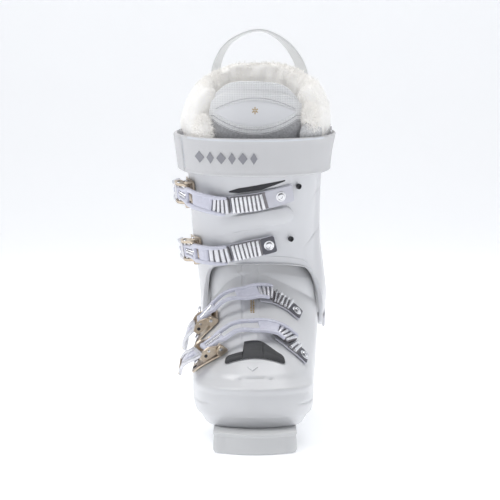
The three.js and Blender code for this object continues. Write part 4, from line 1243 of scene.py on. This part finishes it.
def tongue_parts():
    """The padded tongue: an instep part on the shell and a shin part on the cuff."""
    places = np.linspace(-0.094, 0.094, 70)
    rows = wall_loop(shell_surface, places, 94.0, 148.0, 6.2, 11.0, 40)
    lower = make_mesh("tongue_instep", *tube(rows), LINER_DARK, "shell")
    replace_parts(lower, "tongue_lower")
    places = np.linspace(228, 312, 110)
    rows = []
    low, high = 180, 311
    for z in (*np.linspace(low, 300, 60), *np.linspace(301, high, 14)):
        outside, inside = inset_here(z), 13 - smooth_step(299, 304, z)
        round_off = quarter_round(min((z - low) / 2.5, (high - z) / 1.6))
        middle, half = (outside + inside) / 2, (inside - outside) / 2 * (1 - 0.7 * round_off)
        height = tongue_height(places, z)
        out = cuff_surface(places, height, middle - half + quilt(places, height))
        back = cuff_surface(places, height, middle + half)[::-1]
        rows.append(np.concatenate([out, back]))
    upper = make_mesh("tongue_shin", *tube(rows), LINER_MESH, "cuff")
    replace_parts(upper, "tongue_upper")


def tongue_height(places, z):
    """The top corners of the tongue are rounded down, the inner one a little lower."""
    x = tongue_x(places, 300.0)
    droop = 9.0 * np.abs(x / 41)**5 + 2.0 * np.clip(x / 41, 0, 1)
    return z - droop * smooth_step(288, 311, z)


def tongue_x(places, z):
    return cuff_surface(places, z)[..., 0]


BADGE = {"half": 40.0, "z": 284.5, "rise": 9.5, "drop": 13.0}


def badge_edges(x):
    """Lower and upper height of the lens badge across the tongue."""
    fade = np.clip(1 - (np.abs(x) / BADGE["half"])**2, 0, 1)
    return BADGE["z"] - BADGE["drop"] * fade, BADGE["z"] + BADGE["rise"] * fade


def quilt(places, z):
    """How far the tongue cover is drawn in: at the double seam under the badge and round its rim."""
    x = tongue_x(places, z)
    low, high = badge_edges(x)
    seam = 0.5 * bell(z, low - 3.2, 1.3) + 0.5 * bell(z, low - 6.8, 1.3)
    rim = 0.35 * bell(z, high + 2.4, 1.5)
    return seam + rim


def tongue_patch(name, low_high, look, lift, places, rows_count=18):
    """A thin cover on the front of the tongue between two heights given for each x."""
    rows = []
    low, high = low_high(tongue_x(places, 285.0))
    for share in np.linspace(0, 1, rows_count):
        z = low + (high - low) * share
        edge = math.sqrt(max(0.0, 1 - (abs(share - 0.5) * 2)**6))
        rows.append(cuff_surface(places, z, inset_here(z) - lift * edge))
    rows += [cuff_surface(places, z, inset_here(z) + 0.7) for z in (high, low)]
    make_mesh(name, *tube(np.swapaxes(rows, 0, 1)), look, "cuff")


def inset_here(z):
    return 6 + 3 * smooth_step(299, 304, z)


def cover_heights(x):
    """The plain, darker cover below the badge: painted shade of the band that lies in shadow above the strap.
    """
    return np.full(np.shape(x), 256.0), badge_edges(x)[0] - 7.6


def beside_badge(edge, low, high):
    """A band low to high from the badge's lower (0) or upper (1) edge."""
    return lambda x: (badge_edges(x)[edge] + low, badge_edges(x)[edge] + high)


def tongue_trim():
    """Badge, cover, seams and the small printed star of the tongue."""
    places = np.linspace(231.5, 308.5, 90)
    inside = places[np.abs(tongue_x(places, 285.0)) < BADGE["half"] - 0.6]
    tongue_patch("tongue_badge", badge_edges, BADGE_LIGHT, 0.9, inside)
    # The lower cover is a darker cloth: painted shade where the tongue lies in shadow above the strap.
    tongue_patch("tongue_shade_cover", cover_heights, LINER_DARK, 0.3, places, 12)
    for name, drop in (("upper", 3.2), ("lower", 6.8)):
        heights = beside_badge(0, -drop - 0.35, -drop + 0.35)
        tongue_patch(f"tongue_seam_{name}", heights, THREAD, 0.25, places, 4)
    tongue_patch("tongue_seam_top", beside_badge(1, 1.6, 2.3), THREAD, 0.3, inside, 4)
    flake = []
    center = np.array([0, BADGE["z"] + 0.6])
    for turn in circle(6) + math.pi / 6:
        along = np.array([math.cos(turn), math.sin(turn)])
        across = 0.5 * np.array([-along[1], along[0]])
        root, tip = center + 0.6 * along, center + 3.1 * along
        flake.append(badge_patch([root + across, tip + across, tip - across, root - across], 0.95, 1.15))
    joined_piece("tongue_print", flake, GOLD_PRINT, "cuff")


def badge_patch(outline, low, high):
    """A tiny raised print on the tongue badge, outline in (x, z)."""
    rings = []
    for up in (low - 0.5, high):
        ring = []
        for x, z in outline:
            place = place_on_front(cuff_surface, x, z, CUFF_FRONT)
            ring.append(cuff_surface(place, z, inset_here(z) - up))
        rings.append(ring)
    return tube(rings)


# ---- strap, keeper, pull loop

STRAP_STAND = 5.0
STRAP_FACE = STRAP_STAND + 3.0
STRAP_HEIGHT = 35


def strap_band():
    """The wide top strap: a coated band with a bright lip along both edges."""
    places = np.arange(420) * 360 / 420
    low = edge_on_surface(cuff_surface, places, STRAP_LOWER_EDGE, 230) + 0.1
    high = edge_on_surface(cuff_surface, places, STRAP_UPPER_EDGE, 262) - 0.1
    outer = []
    for share in np.linspace(0, 1, 44):
        near = min(share, 1 - share) * STRAP_HEIGHT
        lip = 0.35 * math.exp(-((near - 1.6) / 1.1)**2)
        round_off = 1.5 * quarter_round(near / 1.5)
        wave = 0.25 * np.sin(np.radians(places * 3 + 40)) * math.sin(math.pi * share)
        z = low + (high - low) * share
        outer.append(cuff_surface(places, z, -STRAP_FACE - lip + round_off + wave + 0.35))
    inner = []
    for share in np.linspace(1, 0, 12):
        near = min(share, 1 - share) * STRAP_HEIGHT
        z = low + (high - low) * share
        inner.append(cuff_surface(places, z, -STRAP_STAND - quarter_round(near)))
    piece = make_mesh("strap_band", *tube(outer + inner, ring=True), STRAP_GREY, "cuff")
    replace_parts(piece, "power_strap")


def strap_flap():
    """The loose end folded back over the outer side, and its closing stitches."""
    places = np.linspace(150, 207, 100)
    rows = []
    for place in places:
        near_end = min(1.0, (places[-1] - place) / 3.0)
        near_root = min(1.0, (place - places[0]) / 3.0)
        low = edge_height(STRAP_LOWER_EDGE, cuff_surface(place, 240.0)[1]) + 1.6
        high = edge_height(STRAP_UPPER_EDGE, cuff_surface(place, 260.0)[1]) - 1.4
        middle, half = (low + high) / 2, (high - low) / 2 * (1 - 0.14 * quarter_round(near_end))
        thick = 0.25 + 0.95 * min(near_end * 2, 1) * near_root
        loop = []
        for across, up in rounded_section(half, -0.2, thick, 0.5):
            loop.append(cuff_surface(place, middle + across, -STRAP_FACE - up))
        rows.append(loop)
    joined_piece("strap_flap", [tube(rows)], STRAP_GREY, "cuff")


def strap_print():
    """Plain lozenges in place of lettering along the front of the strap."""
    parts = []
    first_x, pitch, tall = -49, 9.6, 5.2
    for step in range(6):
        x = first_x + step * pitch
        half = 3.2 if step % 2 else 4.2
        parts.append(strap_mark([(x - half, 0), (x, tall), (x + half, 0), (x, -tall)]))
    joined_piece("strap_marks", parts, PRINT_GREY, "cuff")
    line = [strap_mark([(-64.0, z), (-63.3, z), (-63.3, z + 2.2), (-64.0, z + 2.2)])
            for z in np.arange(-12, 12, 3.4)]
    joined_piece("strap_stitches", line, STRAP_EDGE, "cuff")
    stops = []
    for place in range(190, 351, 8):
        top = edge_height(STRAP_UPPER_EDGE, strap_surface(place, 250.0)[1])
        stops.append((place, top - 1.3))
    lip = Route(strap_surface, stops, 0.0, 360)
    start, end = lip.distance_at_x(-60), lip.distance_at_x(62)
    edge = even_strip(lip, start, end, (-0.6, 0.45, 0.9), 0.4, plan_radius=0.8)
    make_mesh("strap_lip", *edge, STRAP_EDGE, "cuff")


def strap_surface(place, z, inset=0.0):
    """The face of the strap."""
    return cuff_surface(place, z, inset - STRAP_FACE)


def strap_mark(outline):
    """A thin print on the strap; outline in x and height over the strap's middle line."""
    rings = []
    for up in (-0.25, 0.12):
        ring = []
        for x, rise in outline:
            place = place_on_front(strap_surface, x, 240.0, CUFF_FRONT)
            y = strap_surface(place, 240.0)[1]
            middle = (edge_height(STRAP_LOWER_EDGE, y) + edge_height(STRAP_UPPER_EDGE, y)) / 2
            ring.append(strap_surface(place, middle + rise, -up))
        rings.append(ring)
    return tube(rings)


def strap_hardware():
    """The wire keeper and the rivet that pins the strap at the back."""
    low, high = (np.array(corner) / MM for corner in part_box("strap_keeper"))
    middle = (low + high) / 2
    rings = []
    for turn in circle(48):
        radial = np.array([0, math.cos(turn), math.sin(turn)])
        center = middle + radial * 5.5
        ring = [center + 0.9 * (math.cos(a) * radial + math.sin(a) * np.array([1.0, 0, 0]))
                for a in circle(16)]
        rings.append(ring)
    piece = make_mesh("keeper_wire", *tube(rings, ring=True), CHROME, "cuff")
    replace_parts(piece, "strap_keeper")
    frame = wall_frame_at(cuff_surface, 90.0, 245.0)
    head = turned(frame, 0.0, [(6, 8.2), (6, 9.0), (5.4, 9.8), (4.2, 10.3)], sides=48, recess=(1.8, 0.9, 24))
    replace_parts(make_mesh("strap_rivet_head", *head, SATIN, "cuff"), "strap_rivet")


# ---- fur collar

COLLAR_PLACES = (-42.0, 222.0)
# Height, then how far the outer and the inner face stand inside the cuff's outline.
COLLAR_LEVELS = np.array([(262, 2, 14), (272, 1, 16), (288, -1, 18), (305, -2, 19), (320, 0, 18),
                          (329, 3, 15), (333, 7, 11)], float)


def collar_fall(place):
    """How tall the roll is: full height behind the calf, lower at the sides and the front ends."""
    away = np.abs(place - 90)
    return 1 - 0.24 * smooth_step(15, 90, away) - 0.14 * np.clip((away - 90) / 42, 0, 1)


def collar_point(place, around, puff=0.0):
    """A point of the fur roll: around runs 0 to 1 from the outer foot over the top to the inner foot."""
    place, around = np.broadcast_arrays(np.asarray(place, float), np.asarray(around, float))
    y = cuff_surface(place, 270.0)[..., 1]
    foot = edge_height(CUFF_UPPER_EDGE, y) + 1.2
    from_end = np.minimum(place - COLLAR_PLACES[0], COLLAR_PLACES[1] - place)
    taper = 1 - quarter_round(from_end / 12.0)
    fall = collar_fall(place)
    top = 262 + 70.5 * fall - 6 * (1 - taper)
    share = 1 - np.abs(around * 2 - 1)
    z = foot + (top - foot) * np.sin(share * math.pi / 2)
    level = 262 + (z - 262) / fall
    outside = np.interp(level, COLLAR_LEVELS[:, 0], COLLAR_LEVELS[:, 1])
    inside = np.interp(level, COLLAR_LEVELS[:, 0], COLLAR_LEVELS[:, 2])
    curl = np.clip(1 - from_end / 26.0, 0, 1)
    inside = inside + 4.5 * curl * bell(z, 270, 20)
    middle, half = (outside + inside) / 2, (inside - outside) / 2
    crown = np.clip(1 - ((z - foot) / (top + 0.5 - foot))**4, 0.0, 1)**0.5
    side = np.where(around < 0.5, -1.0, 1.0) * np.minimum(1, np.abs(around * 2 - 1) * 6)
    inset = middle + side * half * (0.35 + 0.65 * crown) * (0.45 + 0.55 * taper)
    lumps = 1.3 * np.sin(np.radians(place * 9)) * np.sin(z * 0.21)
    lumps = lumps + 0.9 * np.sin(np.radians(place * 23 + 40) + z * 0.1)
    return cuff_surface(place, z, inset - side * (puff + lumps * 0.6))


def fur_collar():
    """The padded roll round the top of the liner and its pile."""
    places = np.linspace(*COLLAR_PLACES, 190)
    around = np.linspace(0, 1, 74)
    rows = [collar_point(place, around, -1.2) for place in places]
    skin = make_mesh("fur_roll", *tube(rows), FUR_SKIN, "cuff", smooth_angle=0)
    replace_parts(skin, "fur_collar")
    fur_strands()


def fur_strands():
    """Short curling strands in clumps all over the roll."""
    count = 21000
    clumps = 520
    spread_place, spread_around = 5.5, 0.035
    clump_place = rng.uniform(*COLLAR_PLACES, clumps)
    clump_around = rng.uniform(0.0, 1.0, clumps)
    lean = unit(rng.normal(size=(clumps, 3)))
    chosen = rng.integers(0, clumps, count)
    place = np.clip(clump_place[chosen] + rng.normal(0, spread_place, count), *COLLAR_PLACES)
    around = np.clip(clump_around[chosen] + rng.normal(0, spread_around, count), 0.002, 0.998)
    root = collar_point(place, around, -1.4)
    out = unit(collar_point(place, around, 1.0) - root)
    plant_strands("fur_pile", root, out, lean[chosen])


def plant_strands(name, root, out, lean):
    """Tapering bent ribbons standing on their roots, one mesh for them all."""
    count = len(root)
    shortest, longest = 3.2, 6.2
    length = rng.uniform(shortest, longest, count)[:, None]
    drift = unit(out * 1.15 + lean * 0.85 + rng.normal(0, 0.32, (count, 3)))
    curl = unit(np.cross(drift, rng.normal(size=(count, 3))))
    side = unit(np.cross(drift, curl))
    points = []
    stages = ((0.0, 0.30), (0.45, 0.24), (0.8, 0.15), (1.0, 0.03))
    for share, width in stages:
        bend = math.sin(share * math.pi) * 0.55 + share * 0.2
        middle = root + drift * length * share + curl * length * 0.35 * bend
        points.append(middle - side * width)
        points.append(middle + side * width)
    points = np.stack(points, 1).reshape(-1, 3)
    limit_low, limit_high = (np.array(corner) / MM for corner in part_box("fur_collar"))
    points = np.clip(points, limit_low - 3.0, limit_high + 4.0)
    quads = np.arange(len(stages) - 1)
    first = np.arange(count)[:, None, None] * 2 * len(stages) + quads[None, :, None] * 2
    faces = (first + np.array([0, 1, 3, 2])).reshape(-1, 4)
    mesh = bpy.data.meshes.new(name)
    mesh.from_pydata((points * MM).tolist(), [], faces.tolist())
    mesh.materials.append(FUR_STRAND)
    mesh.shade_smooth()
    piece = bpy.data.objects.new(name, mesh)
    bpy.context.scene.collection.objects.link(piece)
    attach(piece, "cuff")


def collar_curl(name, place, z, half_place, half_z, look, furry):
    """A soft lump where a front end of the collar folds over the side of the tongue."""
    rows = []
    turns = circle(48)
    middle_inset = 1.4
    center = cuff_surface(place, z, middle_inset)
    for tilt in np.linspace(0.04, math.pi - 0.04, 30):
        across = place + half_place * math.sin(tilt) * np.cos(turns)
        inset = middle_inset + 4.0 * math.sin(tilt) * np.sin(turns)
        rows.append(cuff_surface(across, z - half_z * math.cos(tilt), inset))
    rows = np.array(rows)
    piece = make_mesh(name, *tube(rows), look, "cuff", smooth_angle=0)
    if furry:
        count = 2000
        picked = rng.integers(1, len(rows) - 1, count), rng.integers(0, len(turns), count)
        root = rows[picked]
        out = unit(root - center)
        plant_strands(f"{name}_pile", root, out, unit(rng.normal(size=(count, 3))))


def collar_front():
    """The folded ends of the collar beside the tongue."""
    collar_curl("collar_curl_outer", 226.5, 266.0, 9.0, 13.0, FUR_SKIN, True)
    collar_curl("collar_curl_inner", 317.5, 279.0, 7.5, 10.0, FUR_SKIN, True)
    collar_curl("collar_pad_inner", 319.5, 265.0, 15.0, 13.0, LINER_LIGHT, False)


def collar_label():
    """A cloth label sewn on the inside of the roll behind the calf."""
    rows = []
    around = np.linspace(0.54, 0.70, 16)
    for place in np.linspace(77.5, 88.5, 14):
        front, back = collar_point(place, around, 2.4), collar_point(place, around[::-1], 0.4)
        rows.append(np.concatenate([front, back]))
    make_mesh("collar_label", *tube(rows), LINER_LIGHT, "cuff")
    corners = ((80.0, 2.3), (80.0, 2.8), (81.0, 2.8), (81.0, 2.3))
    seam = [collar_point(place, around, lift) for place, lift in corners]
    make_mesh("collar_label_seam", *tube(np.swapaxes(seam, 0, 1)), LINER_GREY, "cuff")


# ---- pull loop

# x, y, z of the webbing's middle, and the direction of its width in plan in degrees.
LOOP_STOPS = [(-37, 76, 289, 52), (-38, 76, 312, 54), (-36, 76, 334, 62), (-24, 75, 354, 76),
              (3, 73.5, 365, 92), (27.5, 71.5, 354, 114), (42, 70, 334, 126), (47, 69, 312, 131),
              (46, 69, 289, 132)]


def webbing_frame(stop, tangent):
    """Middle, thickness and width of the webbing at a stop."""
    x, y, z, angle = stop
    width = np.array([math.cos(math.radians(angle)), math.sin(math.radians(angle)), 0])
    return np.array([x, y, z]), unit(np.cross(tangent, width)), width


def pull_loop():
    """Woven webbing arched behind the collar, with a stitched foot at each end."""
    path = catmull_rom(LOOP_STOPS, 150)
    tangents = unit(np.gradient(path[:, :3], axis=0))
    rows = []
    for stop, tangent in zip(path, tangents):
        middle, thickness, width = webbing_frame(stop, tangent)
        section = []
        for across, up in rounded_section(7.4, -0.95, 0.95, 0.8, 5):
            rib = 0.12 * math.cos(across * 2.1) if abs(up) > 0.5 else 0
            section.append(middle + width * across + thickness * (up + math.copysign(rib, up)))
        rows.append(section)
    piece = make_mesh("loop_band", *tube(rows), WEBBING, "cuff")
    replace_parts(piece, "pull_loop")
    stitches = []
    for index in (*range(4, 22, 3), *range(128, 147, 3)):
        middle, thickness, width = webbing_frame(path[index], tangents[index])
        for side in (-5.4, 5.4):
            for face in (-1, 1):
                frame = fixed_frame(middle + width * side, thickness * face, tangents[index], width)
                stitches.append(thread_bar(frame, 1.1, 0.95))
    joined_piece("loop_stitches", stitches, LOOP_THREAD, "cuff")


def thread_bar(frame, half_length, stand):
    """One stitch lying along a frame's forward direction."""
    turns = circle(8)
    rows = []
    for share, size in ((-1, 0.08), (-0.8, 0.26), (0.8, 0.26), (1, 0.08)):
        along = np.full(len(turns), share * half_length)
        rows.append(place_in(frame, along, size * np.cos(turns), stand + size * np.sin(turns)))
    return tube(rows)


# ---- studio

def stage_sheet(name, points, faces, material, smooth):
    """A surface that only dresses the studio."""
    mesh = bpy.data.meshes.new(name)
    mesh.from_pydata(points, [], faces)
    if smooth:
        mesh.shade_smooth()
    mesh.materials.append(material)
    sheet = bpy.data.objects.new(name, mesh)
    bpy.context.scene.collection.objects.link(sheet)


def studio():
    """A plain pale floor that curves up behind, far walls, three soft lamps and the camera."""
    reach, backdrop_height, wall_height = 14.0, 6.0, 3.2
    bend_start, bend_radius = 2.2, 1.2
    backdrop_y = bend_start + bend_radius
    paper = Shader("backdrop_paper", (0.93, 0.935, 0.945), 0.9)
    paper.vary_color(paper.noise(0.4), (0.925, 0.93, 0.94), (0.935, 0.94, 0.95))
    paper.set(Emission_Color=(0.95, 0.97, 1.0, 1), Emission_Strength=0.33)
    bend = [(bend_start + bend_radius * math.sin(a), bend_radius - bend_radius * math.cos(a))
            for a in np.linspace(0, math.pi / 2, 24)]
    profile = [(-reach, 0.0), *bend, (backdrop_y, backdrop_height)]
    count = len(profile)
    points = [(x, y, z) for x in (-reach, reach) for y, z in profile]
    stage_sheet("backdrop", points, [(i, i + 1, count + i + 1, count + i) for i in range(count - 1)],
                paper.material, True)
    corners = [(-reach, backdrop_y), (-reach, -reach), (reach, -reach), (reach, backdrop_y)]
    points = [(x, y, z) for x, y in corners for z in (0.0, wall_height)]
    stage_sheet("far_walls", points, [(i, i + 1, i + 3, i + 2) for i in (0, 2, 4)], paper.material, False)

    middle_of_boot = Vector((0, 0, 0.17))
    for name, place, power, size in (("key", (-1.0, -0.35, 2.1), 16.5, 0.9),
                                     ("fill", (1.8, 0.1, 1.5), 3.0, 1.2),
                                     ("top", (0.3, 0.35, 2.4), 20.5, 1.5)):
        lamp = bpy.data.lights.new(name, "AREA")
        lamp.energy, lamp.size = power, size
        light = bpy.data.objects.new(name, lamp)
        light.location = place
        aim = middle_of_boot - Vector(place)
        light.rotation_euler = aim.to_track_quat("-Z", "Y").to_euler()
        bpy.context.scene.collection.objects.link(light)
    studio_sky()

    distance, eye_height, look_down = 1.347, 0.250, 3.84
    lens = bpy.data.cameras.new("camera")
    lens.lens, lens.sensor_width, lens.shift_x = 106.3, 36, -0.01
    camera = bpy.data.objects.new("camera", lens)
    camera.location = (0, -distance, eye_height)
    camera.rotation_euler = (math.radians(90 - look_down), 0, 0)
    bpy.context.scene.collection.objects.link(camera)
    bpy.context.scene.camera = camera
    bpy.context.scene.view_settings.view_transform = "Standard"


def studio_sky():
    """Soft bright and dark patches for the gloss to mirror, dimmer in front of the toe than behind it."""
    world = bpy.data.worlds.new("studio_sky")
    world.use_nodes = True
    graph = Graph(world.node_tree)
    direction = graph.node("TexCoord").outputs["Generated"]
    patches = graph.node("TexNoise", Scale=2.2, Detail=1.0, Vector=direction)
    tones = (0.42, (0.12, 0.12, 0.13)), (0.56, (1.7, 1.72, 1.78))
    to_back = graph.node("SeparateXYZ", Vector=direction).outputs["Y"]
    strength = graph.node("MapRange", From_Min=-0.9, From_Max=0.1, To_Min=0.15, To_Max=0.37, Value=to_back)
    background = graph.nodes["Background"]
    graph.feed(background.inputs["Color"], graph.ramp(patches.outputs["Fac"], *tones))
    graph.feed(background.inputs["Strength"], strength.outputs["Result"])
    bpy.context.scene.world = world


# ---- the boot

lower_shell()
sole_pad("toe_sole_block", -147.5, -51.5, 7, "toe_sole_pad")
sole_pad("heel_sole_block", 147.5, 63.5, 5, "heel_sole_pad")
tread_blocks("toe_tread", -128, -58, 26)
tread_blocks("heel_tread", 70, 132, 26)
sole_screws()
boot_inside()
liner_foot()
tongue_parts()
liner_leg()
cuff_skin()
throat_gaiter()
front_details()
pivot_rivets()
spine_bolts()
for which in BUCKLES:
    buckle(which)
strap_band()
strap_flap()
strap_print()
strap_hardware()
tongue_trim()
fur_collar()
collar_front()
collar_label()
pull_loop()
studio()
